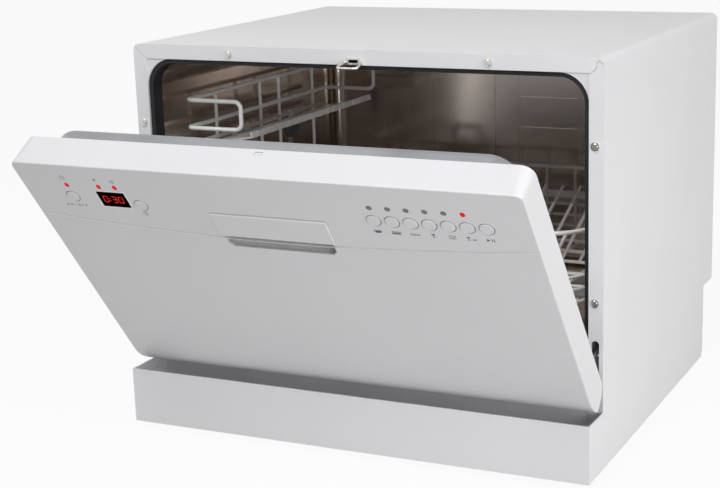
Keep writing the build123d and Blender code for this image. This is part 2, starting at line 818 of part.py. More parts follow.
# Door liner: a sheet that closes the door's back, with a pan that stands into the tub
liner_front = door_thickness - liner_sheet
liner_half = side_half - door_wall - touch_gap
liner_top = door_height - door_wall - touch_gap
liner_foot = back_low + 1.0
liner_high = door_height - liner_top_inset
pan_middle = (liner_low + liner_high) / 2
pan_rise = liner_high - liner_low
pan_face = door_thickness + liner_reach
hinge_notch_top = hinge_rise + 19
dispenser_height = 190.0
dispenser_wide, dispenser_tall = 129.0, 79.0
with BuildPart() as door_liner:
    with BuildSketch(door_face(liner_front)):
        with Locations((0, pan_middle)):
            RectangleRounded(2 * liner_half_width, pan_rise, liner_corner)
    extrude(amount=-(liner_reach + liner_sheet))
    pan_axis = Axis(door_origin, inward)
    fillet(door_liner.faces().sort_by(pan_axis)[-1].edges(), radius=8)
    offset(amount=-liner_sheet, openings=door_liner.faces().sort_by(pan_axis)[0])
    with BuildSketch(door_face(liner_front)) as liner_outline:
        with Locations((0, (liner_top + liner_foot) / 2)):
            Rectangle(2 * liner_half, liner_top - liner_foot)
        fillet(liner_outline.vertices().group_by(Axis.Y)[-1], radius=door_back_corner - door_wall)
        with Locations((0, pan_middle)):
            RectangleRounded(
                2 * (liner_half_width - liner_sheet),
                pan_rise - 2 * liner_sheet,
                liner_corner - liner_sheet,
                mode=Mode.SUBTRACT,
            )
        with Locations(*[(x, liner_foot) for x in mirrored_x(liner_half)]):
            Rectangle(2 * (liner_half - slot_x + 6), 2 * (hinge_notch_top - liner_foot), mode=Mode.SUBTRACT)
    extrude(amount=-liner_sheet)
    with BuildSketch(door_face(pan_face - 2 * liner_sheet)):
        with Locations((0, dispenser_height)):
            Rectangle(dispenser_wide + 1, dispenser_tall + 1)
    extrude(amount=-3 * liner_sheet, mode=Mode.SUBTRACT)
keep("door_liner", door_liner.part)

# Handle cup, flap and the parts behind the control panel
cup_wall = 1.6
cup_half = 67.0
cup_low = door_height - 109.5
cup_high = door_height - 53
cup_depth = 27.0
with BuildPart() as handle_cup:
    with BuildSketch(door_side(-cup_half)):
        with BuildLine():
            Polyline(
                (door_wall, cup_low),
                (cup_depth - 6, cup_low + 4),
                (cup_depth, cup_low + 12),
                (cup_depth, cup_high),
                (door_wall, cup_high),
                close=True,
            )
        make_face()
    extrude(amount=2 * cup_half)
    offset(
        amount=-cup_wall,
        openings=handle_cup.faces().sort_by(Axis(door_origin, inward))[0],
    )
    with BuildSketch(door_side(-cup_half)):
        with Locations((flap_pivot_depth, flap_pivot_height)):
            Circle(flap_pin + running_gap)
    extrude(amount=2 * cup_half, mode=Mode.SUBTRACT)
keep("handle_cup", handle_cup.part)

with BuildPart() as handle_flap:
    with BuildSketch(door_face(-flap_proud)):
        with Locations((0, (flap_low + flap_high) / 2)):
            Rectangle(2 * flap_half, flap_high - flap_low)
    extrude(amount=-flap_thick)
    fillet(handle_flap.faces().sort_by(Axis(door_origin, inward))[0].edges(), radius=1.0)
    for start in (-flap_half, flap_half - 4):
        with BuildSketch(door_side(start)):
            with Locations((flap_pivot_depth, flap_pivot_height)):
                Circle(2.4)
            with Locations((flap_pivot_depth / 2 + 0.5, flap_pivot_height)):
                Rectangle(flap_pivot_depth - 1, 4.8)
        extrude(amount=4)
    for start in (-cup_half + 0.1, flap_half):
        with BuildSketch(door_side(start)):
            with Locations((flap_pivot_depth, flap_pivot_height)):
                Circle(flap_pin)
        extrude(amount=cup_half - flap_half - 0.1)
keep("handle_flap", handle_flap.part)

window_front = 0.3
window_flange = 1.0
board_depth = 8.0
board_thick = 1.6
board_half = 236.0
board_low = door_height - 65
board_high = door_height - 18
board_notch_half = 72.0
board_notch_top = door_height - 50
board_latch_half = 18.0
board_latch_low = door_height - 43
with BuildPart() as display_window:
    with BuildSketch(door_face(window_front)):
        with Locations(display_at):
            Rectangle(display_width, display_height)
    extrude(amount=-(door_wall - window_front))
    with BuildSketch(door_face(door_wall)):
        with Locations(display_at):
            Rectangle(display_width + 4, display_height + 4)
    extrude(amount=-window_flange)
keep("display_window", display_window.part)

with BuildPart() as indicator_lamps:
    with BuildSketch(door_face(window_front)):
        with Locations(*lamps_at):
            Circle(lamp_radius)
    extrude(amount=-(board_depth - window_front))
keep("indicator_lamps", indicator_lamps.part)

post_radius = 3.0
with BuildPart() as control_board:
    with BuildSketch(door_face(board_depth)):
        with Locations((0, (board_low + board_high) / 2)):
            Rectangle(2 * board_half, board_high - board_low)
        with Locations((0, board_low)):
            Rectangle(2 * board_notch_half, 2 * (board_notch_top - board_low), mode=Mode.SUBTRACT)
        with Locations((0, board_high)):
            Rectangle(2 * board_latch_half, 2 * (board_high - board_latch_low), mode=Mode.SUBTRACT)
    extrude(amount=-board_thick)
    with BuildSketch(door_face(door_wall)):
        with Locations(*[(x, board_high - 4) for x in (-board_half + 5, -60, 60, board_half - 5)]):
            Circle(post_radius)
    extrude(amount=-(board_depth - door_wall))
    with BuildSketch(door_face(door_wall + window_flange)):
        with Locations(display_at):
            Rectangle(display_width - 3, display_height - 3)
    extrude(amount=-(board_depth - door_wall - window_flange))
    with BuildSketch(door_face(board_depth + board_thick)):
        with Locations((-205, board_low + 21), (100, board_low + 29)):
            Rectangle(34, 26)
        with Locations((190, board_low + 21)):
            Rectangle(46, 20)
    extrude(amount=-14)
keep("control_board", control_board.part)


def push_button(spot):
    """A push button: cap, retaining collar behind the panel and a plunger toward the board."""
    with BuildPart() as button:
        with BuildSketch(door_face(-1.0)):
            with Locations(spot):
                Circle(button_radius)
        extrude(amount=-6.0)
        button_axis = Axis(door_origin, inward)
        chamfer(button.faces().sort_by(button_axis)[0].edges(), length=0.5)
        with BuildSketch(door_face(door_wall + touch_gap)):
            with Locations(spot):
                Circle(button_radius + 1.3)
        extrude(amount=-1.4)
        with BuildSketch(door_face(5.0)):
            with Locations(spot):
                Circle(2.0)
        extrude(amount=-1.5)
    return button.part


keep("power_button", push_button(power_at))
keep("delay_button", push_button(delay_at))
for number, spot in enumerate(programmes_at, start=1):
    keep(f"programme_button_{number}", push_button(spot))

# Latch: a hook that rises out of the door's top edge behind the striker's loop, and its housing
hook_low = door_height - 38
hook_high = door_height - 0.2
housing_half = 16.0
housing_low = door_height - 42
housing_high = door_height - 11
with BuildPart() as latch_hook:
    with BuildSketch(door_side(-hook_half)):
        with BuildLine():
            Polyline(
                (hook_front, hook_low),
                (hook_front + hook_thick, hook_low),
                (hook_front + hook_thick, hook_high - 2),
                (hook_front + hook_thick - 0.8, hook_high),
                (hook_front, hook_high),
                close=True,
            )
        make_face()
    extrude(amount=2 * hook_half)
keep("latch_hook", latch_hook.part)

with BuildPart() as latch_housing:
    with BuildSketch(door_side(-housing_half)):
        with Locations(((door_wall + door_thickness) / 2, (housing_low + housing_high) / 2)):
            Rectangle(door_thickness - door_wall, housing_high - housing_low)
    extrude(amount=2 * housing_half)
    with BuildSketch(door_side(-hook_half - guide_gap)):
        with Locations((hook_front + hook_thick / 2, hook_low - guide_gap + (housing_high - housing_low) / 2)):
            Rectangle(hook_thick + 2 * guide_gap, housing_high - housing_low)
    extrude(amount=2 * (hook_half + guide_gap), mode=Mode.SUBTRACT)
keep("latch_housing", latch_housing.part)

# Detergent dispenser on the liner's pan, with its hinged lid and the rinse-aid cap
bezel_front = pan_face + 1.5
tray_deep = 15.0
lid_left, lid_right = -57.0, 17.0
lid_low, lid_high = 158.0, 221.0
lid_gap = 0.3
lid_thick = 1.6
lid_pivot_depth = bezel_front + 2.6
lid_pivot_height = 156.5
lid_barrel = 2.2
lid_pin = 1.0
cap_at = (40.0, 192.0)
cap_radius = 14.0
with BuildPart() as dispenser_body:
    with BuildSketch(door_face(pan_face - 16)):
        with Locations((0, dispenser_height)):
            Rectangle(dispenser_wide, dispenser_tall)
    extrude(amount=-16)
    with BuildSketch(door_face(pan_face)):
        with Locations((0, dispenser_height)):
            RectangleRounded(dispenser_wide + 10, dispenser_tall + 10, 8)
    extrude(amount=-(bezel_front - pan_face))
    with BuildSketch(door_face(bezel_front)):
        with Locations(((lid_left + lid_right) / 2, (lid_low + lid_high) / 2)):
            RectangleRounded(lid_right - lid_left - 8, lid_high - lid_low - 8, 6)
    extrude(amount=tray_deep, mode=Mode.SUBTRACT)
    with BuildSketch(door_face(bezel_front)):
        with Locations(cap_at):
            Circle(cap_radius + touch_gap)
    extrude(amount=5, mode=Mode.SUBTRACT)
    for start, thick in ((lid_left + 4, 3), (lid_right - 7, 3)):
        with BuildSketch(door_side(start)):
            with Locations((lid_pivot_depth, lid_pivot_height)):
                Circle(lid_barrel)
            with Locations((lid_pivot_depth - 1.5, lid_pivot_height)):
                Rectangle(3, 2 * lid_barrel)
        extrude(amount=thick)
    with BuildSketch(door_side(lid_left + 4)):
        with Locations((lid_pivot_depth, lid_pivot_height)):
            Circle(lid_pin)
    extrude(amount=lid_right - lid_left - 8)
keep("dispenser_body", dispenser_body.part)

barrel_start = lid_left + 7 + lid_gap
barrel_long = lid_right - lid_left - 14 - 2 * lid_gap
with BuildPart() as dispenser_lid:
    with BuildSketch(door_face(bezel_front + lid_gap)):
        with Locations(((lid_left + lid_right) / 2, (lid_low + lid_high) / 2 + 0.8)):
            Rectangle(lid_right - lid_left, lid_high - lid_low - 1.6)
    extrude(amount=-lid_thick)
    with BuildSketch(door_side(barrel_start)):
        with Locations((lid_pivot_depth, lid_pivot_height)):
            Circle(lid_barrel)
        with Locations((bezel_front + lid_gap + lid_thick / 2, lid_low + 1)):
            Rectangle(lid_thick, 3)
        with Locations((lid_pivot_depth, lid_pivot_height)):
            Circle(lid_pin + running_gap, mode=Mode.SUBTRACT)
    extrude(amount=barrel_long)
    with BuildSketch(door_face(bezel_front + lid_gap)):
        with Locations(((lid_left + lid_right) / 2, lid_high - 4)):
            Rectangle(24, 4)
    extrude(amount=-lid_thick - 2.0)
keep("dispenser_lid", dispenser_lid.part)

with BuildPart() as rinse_aid_cap:
    with BuildSketch(door_face(bezel_front - 4.7)):
        with Locations(cap_at):
            Circle(cap_radius)
    extrude(amount=-5.7)
    with BuildSketch(door_face(bezel_front + 1.0)):
        with Locations(cap_at):
            Rectangle(5, 2 * cap_radius - 6)
    extrude(amount=-4)
keep("rinse_aid_cap", rinse_aid_cap.part)

# ---------------------------------------------------------------- rack
rack_floor_low = rack_floor_top - floor_bar
row_depths = (57.0, 208.0, 305.0)
cross_depths = (57.0, 107.0, 157.0, 208.0, 257.0, 305.0, 347.0)
long_bars = [49.0 * i for i in range(-4, 5)]
roller_depths = (118.0, 340.0)
bracket_half = 9.0
bracket_drop = 6.0
axle_radius = 3.0
axle_cap = 4.5
roller_start = rack_half_width + floor_bar / 2 + 0.5
rack_outer = rack_half_width + floor_bar / 2
with BuildPart() as rack_floor:
    with BuildSketch(level(rack_floor_low)):
        with Locations((0, rack_middle)):
            RectangleRounded(2 * rack_outer, rack_depth + floor_bar, rack_corner + floor_bar / 2)
            RectangleRounded(
                2 * rack_outer - 2 * floor_bar,
                rack_depth - floor_bar,
                rack_corner - floor_bar / 2,
                mode=Mode.SUBTRACT,
            )
        with Locations(*[(0, depth) for depth in cross_depths]):
            Rectangle(2 * rack_outer - floor_bar, floor_bar)
        with Locations(*[(x, rack_middle) for x in long_bars]):
            Rectangle(floor_bar, rack_depth)
    extrude(amount=floor_bar)
    with BuildSketch(level(rack_floor_low)):
        with Locations(*[(x, depth) for depth in roller_depths for x in mirrored_x(rack_half_width)]):
            Rectangle(floor_bar, 2 * bracket_half)
    extrude(amount=-(rack_floor_low - axle_z + bracket_drop))
    for hand in (-1, 1):
        start, thick = place_pair(hand, rack_outer, roller_start + roller_width + touch_gap)
        with BuildSketch(side(start)):
            with Locations(*[(depth, axle_z) for depth in roller_depths]):
                Circle(axle_radius)
        extrude(amount=thick)
        cap_start = roller_start + roller_width + touch_gap
        start, thick = place_pair(hand, cap_start, cap_start + 1)
        with BuildSketch(side(start)):
            with Locations(*[(depth, axle_z) for depth in roller_depths]):
                Circle(axle_cap)
        extrude(amount=thick)
keep("rack_floor", rack_floor.part)


def roller_pair(depth):
    """The left and the right roller on one pair of axles."""
    with BuildPart() as rollers:
        for hand in (-1, 1):
            start, thick = place_pair(hand, roller_start, roller_start + roller_width)
            with BuildSketch(side(start)):
                with Locations((depth, axle_z)):
                    Circle(roller_radius)
                    Circle(axle_radius + running_gap, mode=Mode.SUBTRACT)
            extrude(amount=thick)
    return rollers.part


keep("front_rollers", roller_pair(roller_depths[0]))
keep("rear_rollers", roller_pair(roller_depths[1]))

with BuildPart() as rack_rim:
    with BuildLine(level(rim_z)) as rim_path:
        Line((0, rack_front), (rack_half_width - rack_corner, rack_front))
        for turn_x, turn_y, angle in (
            (rack_half_width - rack_corner, rack_front + rack_corner, -90),
            (rack_half_width - rack_corner, rack_back - rack_corner, 0),
            (-rack_half_width + rack_corner, rack_back - rack_corner, 90),
            (-rack_half_width + rack_corner, rack_front + rack_corner, 180),
        ):
            CenterArc((turn_x, turn_y), rack_corner, angle, 90)
        Line((rack_half_width, rack_front + rack_corner), (rack_half_width, rack_back - rack_corner))
        Line((rack_half_width - rack_corner, rack_back), (-rack_half_width + rack_corner, rack_back))
        Line((-rack_half_width, rack_back - rack_corner), (-rack_half_width, rack_front + rack_corner))
        Line((-rack_half_width + rack_corner, rack_front), (0, rack_front))
    with BuildSketch(Plane(origin=(0, front_y + rack_front, rim_z), z_dir=(1, 0, 0))):
        Circle(rim_wire)
    sweep(path=rim_path.wire())
keep("rack_rim", rack_rim.part)

# Upright grilles between the floor and the rim: front, back, left and right
grille_low = rack_floor_top
grille_high = rim_z - rim_wire
band_low, band_high = low + 200.0, low + 209.0
wire_levels = (low + 178.0, low + 191.0)
front_grille_half = rack_half_width - rack_corner
side_grille_half = rack_depth / 2 - rack_corner
with BuildPart() as rack_side_grilles:
    for depth in (rack_front - floor_bar / 2, rack_back - floor_bar / 2):
        with BuildSketch(facing(depth)):
            with Locations(*[(x, (grille_low + grille_high) / 2) for x in [38.0 * i for i in range(-5, 6)]]):
                Rectangle(thin_wire * 2, grille_high - grille_low)
            with Locations((0, (band_low + band_high) / 2)):
                Rectangle(2 * front_grille_half, band_high - band_low)
            with Locations(*[(0, z) for z in wire_levels]):
                Rectangle(2 * front_grille_half, thin_wire * 2)
        extrude(amount=-floor_bar)
    for x in mirrored_x(rack_half_width):
        with BuildSketch(side(x - floor_bar / 2)):
            with Locations(
                *[(rack_middle + 43.0 * i, (grille_low + grille_high) / 2) for i in range(-3, 4)]
            ):
                Rectangle(thin_wire * 2, grille_high - grille_low)
            with Locations(*[(rack_middle, z) for z in (wire_levels[0], band_low + 4)]):
                Rectangle(2 * side_grille_half, thin_wire * 2)
        extrude(amount=floor_bar)
keep("rack_side_grilles", rack_side_grilles.part)

# Left frame: a closed wire along the rack that turns in at the front and at the back, with the
# cup shelf's hinge rail below it and uprights from the rim
rail_high = tub_high - 47
rail_low = tub_high - 79
shelf_z = tub_high - 99
return_depth = 42.0
back_return_depth = 384.0
return_x = -165.0
return_bend = 8.0
bend_side = return_bend * (1 - sqrt(0.5))
frame_x = -rack_half_width
frame_posts = (104.0, 208.0, 255.0, 345.0)
shelf_rail_front = 62.0
shelf_rail_back = 378.0


def rack_point(x, depth, z):
    """A point given by its distance behind the flange."""
    return Vector(x, front_y + depth, z)


with BuildPart() as rack_left_frame:
    with BuildLine() as rail_path:
        for z, sense in ((rail_low, 1), (rail_high, -1)):
            Line(
                rack_point(frame_x, return_depth + return_bend, z),
                rack_point(frame_x, back_return_depth - return_bend, z),
            )
            for depth, inner in ((return_depth, 1), (back_return_depth, -1)):
                ThreePointArc(
                    rack_point(frame_x, depth + inner * return_bend, z),
                    rack_point(frame_x + bend_side, depth + inner * bend_side, z),
                    rack_point(frame_x + return_bend, depth, z),
                )
                Line(
                    rack_point(frame_x + return_bend, depth, z),
                    rack_point(return_x - return_bend, depth, z),
                )
                ThreePointArc(
                    rack_point(return_x - return_bend, depth, z),
                    rack_point(return_x - bend_side, depth, z + sense * bend_side),
                    rack_point(return_x, depth, z + sense * return_bend),
                )
        for depth in (return_depth, back_return_depth):
            Line(
                rack_point(return_x, depth, rail_low + return_bend),
                rack_point(return_x, depth, rail_high - return_bend),
            )
    rail_wire = Wire(rail_path.edges())
    with BuildSketch(Plane(origin=rail_wire @ 0, z_dir=rail_wire % 0)):
        Circle(rim_wire)
    sweep(path=rail_wire)
    with BuildSketch(facing(shelf_rail_front)):
        with Locations((frame_x, shelf_z)):
            Circle(rim_wire)
    extrude(amount=shelf_rail_front - shelf_rail_back)
    with BuildSketch(level(rim_z + rim_wire)):
        with Locations(*[(frame_x, depth) for depth in frame_posts]):
            Circle(thin_wire)
    extrude(amount=rail_high - rim_z - rim_wire)
keep("rack_left_frame", rack_left_frame.part)

tine_height = low + 235 - rack_floor_top
tine_start = -62.0
with BuildPart() as rack_tines:
    with BuildSketch(level(rack_floor_top)):
        with Locations(*[(tine_start + tine_pitch * i, depth) for depth in row_depths for i in range(tine_count)]):
            Circle(thin_wire)
    lean = Vector(tan(radians(tine_lean)), 0, 1)
    extrude(amount=tine_height / cos(radians(tine_lean)), dir=lean.normalized())
keep("rack_tines", rack_tines.part)

# Cup shelf: a comb-edged shelf that clips round the hinge rail and folds up against the frame
shelf_slope = 10.0
shelf_depths = (66.0, 376.0)
shelf_reach = 71.0
shelf_thick = 2.0
shelf_drop = 3.4
shelf_inner = 7.0
comb_pitch = 20.0
comb_gap = 4.0
comb_deep = 12.0
barrel_radius = 4.6
barrels_at = (158.0, 299.0)
barrel_width = 36.0
shelf_middle = (shelf_depths[0] + shelf_depths[1]) / 2
shelf_length = shelf_depths[1] - shelf_depths[0]
slope = radians(shelf_slope)
shelf_up = Vector(-sin(slope), 0, cos(slope))
shelf_along = Vector(cos(slope), 0, sin(slope))
shelf_hinge = Vector(frame_x, front_y, shelf_z)
shelf_face = Plane(origin=shelf_hinge - shelf_up * (shelf_drop + shelf_thick), x_dir=shelf_along, z_dir=shelf_up)
comb_count = 15
edge_thick = 2.5
edge_rise = 5.0
with BuildPart() as cup_shelf:
    with BuildSketch(shelf_face):
        with Locations(((shelf_inner + shelf_reach) / 2, shelf_middle)):
            Rectangle(shelf_reach - shelf_inner, shelf_length)
        with Locations((shelf_reach, shelf_middle)):
            with GridLocations(1, comb_pitch, 1, comb_count):
                Rectangle(2 * comb_deep, comb_gap, mode=Mode.SUBTRACT)
        with Locations((shelf_inner + 25, shelf_middle)):
            with GridLocations(1, comb_pitch, 1, comb_count):
                Rectangle(32, 10, mode=Mode.SUBTRACT)
    extrude(amount=shelf_thick)
    with BuildSketch(shelf_face):
        with Locations((shelf_reach - edge_thick / 2, shelf_middle)):
            Rectangle(edge_thick, shelf_length)
        with Locations((shelf_reach, shelf_middle)):
            with GridLocations(1, comb_pitch, 1, comb_count):
                Rectangle(2 * comb_deep, comb_gap, mode=Mode.SUBTRACT)
    extrude(amount=shelf_thick + edge_rise)
    for depth in barrels_at:
        barrel_plane = Plane(
            origin=shelf_hinge + Vector(0, depth - barrel_width / 2, 0), x_dir=shelf_up, z_dir=(0, 1, 0)
        )
        with BuildSketch(barrel_plane):
            Circle(barrel_radius)
            with Locations((-shelf_drop - shelf_thick / 2, (shelf_inner + 1) / 2)):
                Rectangle(shelf_thick, shelf_inner + 1)
            Circle(rim_wire + running_gap, mode=Mode.SUBTRACT)
        extrude(amount=barrel_width)
keep("cup_shelf", cup_shelf.part)

# Cutlery basket: lifts out of the rack
basket_left, basket_right = -150.0, -75.0
basket_front, basket_back = 250.0, 372.0
basket_low = rack_floor_top + touch_gap
basket_rise = 60.0
basket_wall = 2.0
basket_top = basket_low + basket_rise
handle_rise = 30.0
basket_rows = 26.0
basket_slot = 20.0
basket_x = (basket_left + basket_right) / 2
basket_y = (basket_front + basket_back) / 2
basket_wide = basket_right - basket_left
basket_long = basket_back - basket_front
with BuildPart() as cutlery_basket:
    with BuildSketch(level(basket_low)):
        with Locations((basket_x, basket_y)):
            RectangleRounded(basket_wide, basket_long, 8)
    extrude(amount=basket_rise)
    offset(amount=-basket_wall, openings=cutlery_basket.faces().sort_by(Axis.Z)[-1])
    with BuildSketch(side(basket_left - 1)):
        with Locations((basket_y, basket_low + basket_rise / 2)):
            with GridLocations(13, basket_rows, 8, 2):
                Rectangle(7, basket_slot)
    extrude(amount=basket_wide + 2, mode=Mode.SUBTRACT)
    with BuildSketch(facing(basket_front - 1)):
        with Locations((basket_x, basket_low + basket_rise / 2)):
            with GridLocations(13, basket_rows, 4, 2):
                Rectangle(7, basket_slot)
    extrude(amount=-basket_long - 2, mode=Mode.SUBTRACT)
    with BuildSketch(facing(basket_y - basket_wall / 2)):
        with Locations((basket_x, basket_low + basket_rise / 2 + 10)):
            Rectangle(basket_wide - basket_wall, basket_rise - 20)
        with Locations((basket_x, basket_top + handle_rise / 2 - 1)):
            Rectangle(40, handle_rise + 2)
        with Locations((basket_x, basket_top + handle_rise / 2 - 5)):
            Rectangle(28, handle_rise - 6, mode=Mode.SUBTRACT)
    extrude(amount=-basket_wall)
keep("cutlery_basket", cutlery_basket.part)

# ---------------------------------------------------------------- spray arm, filter and salt cap
basin_floor = tub_low - basin_drop
plate_thick = 1.2
plate_radius = 112.0
plate_top = basin_floor + plate_thick
hub_collar = 24.0
hub_radius = hub_hole - touch_gap
hub_foot = basin_floor - 9
spigot_radius = 9.0
hub_top = low + 115
spigot_top = low + 130
arm_low = low + 121
arm_high = low + 134
arm_reach = 195.0
arm_hub = 20.0
filter_radius = 27.0
filter_rim = 33.0
filter_foot = low + 55
with BuildPart() as filter_plate:
    with BuildSketch(level(basin_floor)):
        with Locations((0, hub_depth)):
            Circle(plate_radius)
            Circle(hub_hole, mode=Mode.SUBTRACT)
        with Locations((filter_x, filter_y)):
            Circle(filter_hole, mode=Mode.SUBTRACT)
    extrude(amount=plate_thick)
keep("filter_plate", filter_plate.part)

with BuildPart() as spray_hub:
    for z_from, z_to, radius in (
        (hub_foot, hub_top, hub_radius),
        (plate_top, plate_top + 1.8, hub_collar),
        (hub_top, spigot_top, spigot_radius),
    ):
        with BuildSketch(level(z_from)):
            with Locations((0, hub_depth)):
                Circle(radius)
        extrude(amount=z_to - z_from)
keep("spray_hub", spray_hub.part)

nozzles_at = [(x, hub_depth) for x in (-178.0, -140.0, -100.0, -60.0, 60.0, 100.0, 140.0, 178.0)]
with BuildPart() as spray_arm:
    with BuildSketch(level(arm_low)):
        with BuildLine():
            Polyline(
                (-arm_reach, hub_depth - 10),
                (0, hub_depth - 17),
                (arm_reach, hub_depth - 10),
                (arm_reach, hub_depth + 10),
                (0, hub_depth + 17),
                (-arm_reach, hub_depth + 10),
                close=True,
            )
        make_face()
        fillet(vertices(), radius=9)
    extrude(amount=arm_high - arm_low - 3)
    with BuildSketch(level(hub_top + touch_gap)):
        with Locations((0, hub_depth)):
            Circle(arm_hub)
    extrude(amount=arm_high - hub_top - touch_gap)
    with BuildSketch(level(hub_top)):
        with Locations((0, hub_depth)):
            Circle(spigot_radius + running_gap)
    extrude(amount=spigot_top + touch_gap - hub_top, mode=Mode.SUBTRACT)
    with BuildSketch(level(arm_high - 6)):
        with Locations(*nozzles_at):
            Rectangle(2, 7)
    extrude(amount=10, mode=Mode.SUBTRACT)
keep("spray_arm", spray_arm.part)

with BuildPart() as filter_cylinder:
    with BuildSketch(level(filter_foot)):
        with Locations((filter_x, filter_y)):
            Circle(filter_radius)
    extrude(amount=plate_top + touch_gap - filter_foot)
    with BuildSketch(level(plate_top + touch_gap)):
        with Locations((filter_x, filter_y)):
            Circle(filter_rim)
    extrude(amount=1.8)
    with BuildSketch(level(plate_top + touch_gap)):
        with Locations((filter_x, filter_y)):
            Circle(filter_radius - 5)
    extrude(amount=-30, mode=Mode.SUBTRACT)
    with BuildSketch(level(plate_top + touch_gap)):
        with Locations((filter_x, filter_y)):
            Circle(filter_radius - 5)
    extrude(amount=1.8)
    with BuildSketch(level(plate_top + touch_gap + 1.8)):
        with Locations((filter_x, filter_y)):
            Rectangle(40, 5)
    extrude(amount=7)
keep("filter_cylinder", filter_cylinder.part)

sump_low = low + 48
sump_high = basin_floor - tub_sheet
with BuildPart() as sump:
    with BuildSketch(level(sump_low)):
        with Locations((filter_x, filter_y)):
            Circle(filter_hole + 5)
        with Locations((0, hub_depth)):
            Circle(hub_collar)
        make_hull()
        with Locations((-20, hub_depth)):
            Rectangle(28, 24)
        with Locations((filter_x + 21, filter_y + 8)):
            Rectangle(30, 30)
    extrude(amount=sump_high - sump_low)
    with BuildSketch(level(sump_low + 4)):
        with Locations((filter_x, filter_y)):
            Circle(filter_radius + touch_gap)
    extrude(amount=sump_high, mode=Mode.SUBTRACT)
    with BuildSketch(level(hub_foot)):
        with Locations((0, hub_depth)):
            Circle(hub_radius + lamp_gap)
    extrude(amount=sump_high, mode=Mode.SUBTRACT)
keep("sump", sump.part)

salt_neck = salt_hole - 0.5
salt_rim = 27.0
softener_top = tub_low - tub_sheet
with BuildPart() as water_softener:
    with BuildSketch(level(tray_floor + tray_wall)):
        with Locations((salt_x, salt_y + 5)):
            RectangleRounded(100, 104, 10)
    extrude(amount=softener_top - tray_floor - tray_wall)
    with BuildSketch(level(softener_top)):
        with Locations((salt_x, salt_y)):
            Circle(salt_neck)
    extrude(amount=2 * tub_sheet)
    with BuildSketch(level(softener_top + 2 * tub_sheet)):
        with Locations((salt_x, salt_y)):
            Circle(salt_rim - 4 + touch_gap)
    extrude(amount=-12, mode=Mode.SUBTRACT)
keep("water_softener", water_softener.part)

cap_low = softener_top + 2 * tub_sheet + touch_gap
with BuildPart() as salt_cap:
    with BuildSketch(level(cap_low)):
        with Locations((salt_x, salt_y)):
            Circle(salt_rim)
    extrude(amount=5)
    with BuildSketch(level(cap_low)):
        with Locations((salt_x, salt_y)):
            Circle(salt_rim - 4)
    extrude(amount=-10)
    with BuildSketch(level(cap_low + 5)):
        with Locations((salt_x, salt_y)):
            Rectangle(36, 7)
    extrude(amount=6)
keep("salt_cap", salt_cap.part)

# ---------------------------------------------------------------- pieces in the base
tray_top = tray_floor + tray_wall
pump_x = filter_x + 36
pump_y, pump_z = filter_y + 8, low + 56
with BuildPart() as circulation_pump:
    for start, long, radius in ((pump_x, 26, 36), (pump_x + 26, 80, 31)):
        with BuildSketch(side(start)):
            with Locations((pump_y, pump_z)):
                Circle(radius)
        extrude(amount=long)
    with BuildSketch(level(tray_top)):
        with Locations((pump_x + 50, pump_y), (pump_x + 90, pump_y)):
            Rectangle(8, 40)
    extrude(amount=pump_z - 20 - tray_top)
keep("circulation_pump", circulation_pump.part)

drain_end = -34.0
with BuildPart() as drain_pump:
    for start, long, radius in ((drain_end - 16, 16, 11), (drain_end - 40, 24, 24), (drain_end - 90, 50, 18)):
        with BuildSketch(side(start)):
            with Locations((hub_depth, low + 66)):
                Circle(radius)
        extrude(amount=long)
    with BuildSketch(level(tray_top)):
        with Locations((drain_end - 30, hub_depth)):
            Rectangle(8, 30)
    extrude(amount=low + 60 - tray_top)
keep("drain_pump", drain_pump.part)

with BuildPart() as heater:
    with BuildSketch(side(-60)):
        with Locations((310, low + 52)):
            Circle(17)
    extrude(amount=180)
    with BuildSketch(level(tray_top)):
        with Locations((-40, 310), (100, 310)):
            Rectangle(10, 26)
    extrude(amount=low + 45 - tray_top)
keep("heater", heater.part)

valve_spigot = 13.2
spigot_reach = 22.0
cover_front = lower_back - sheet
with BuildPart() as inlet_valve:
    with BuildSketch(facing(cover_front - 32)):
        with Locations((valve_x, valve_z)):
            RectangleRounded(38, 34, 4)
    extrude(amount=-32)
    with BuildSketch(facing(cover_front)):
        with Locations((valve_x, valve_z)):
            Circle(valve_spigot)
            Circle(valve_spigot - 3.5, mode=Mode.SUBTRACT)
    extrude(amount=-spigot_reach)
keep("inlet_valve", inlet_valve.part)

drain_radius = 9.0
with BuildPart() as drain_spigot:
    with BuildSketch(facing(cover_front - 2.5)):
        with Locations((drain_x, drain_z)):
            Circle(drain_radius + 8)
    extrude(amount=-2.5)
    with BuildSketch(facing(cover_front)):
        with Locations((drain_x, drain_z)):
            Circle(drain_radius)
    extrude(amount=-spigot_reach)
    chamfer(drain_spigot.faces().sort_by(Axis.Y)[-1].edges(), length=0.8)
    with BuildSketch(facing(cover_front - 2.5)):
        with Locations((drain_x, drain_z)):
            Circle(drain_radius - 2.5)
    extrude(amount=-spigot_reach - 4, mode=Mode.SUBTRACT)
keep("drain_spigot", drain_spigot.part)

with BuildPart() as cord_gland:
    with BuildSketch(facing(cover_front - 6)):
        with Locations((gland_x, gland_z)):
            Circle(gland_radius - 0.2)
    extrude(amount=-7)
    with BuildSketch(facing(lower_back)):
        with Locations((gland_x, gland_z)):
            Circle(gland_radius + 3)
    extrude(amount=-3)
keep("cord_gland", cord_gland.part)

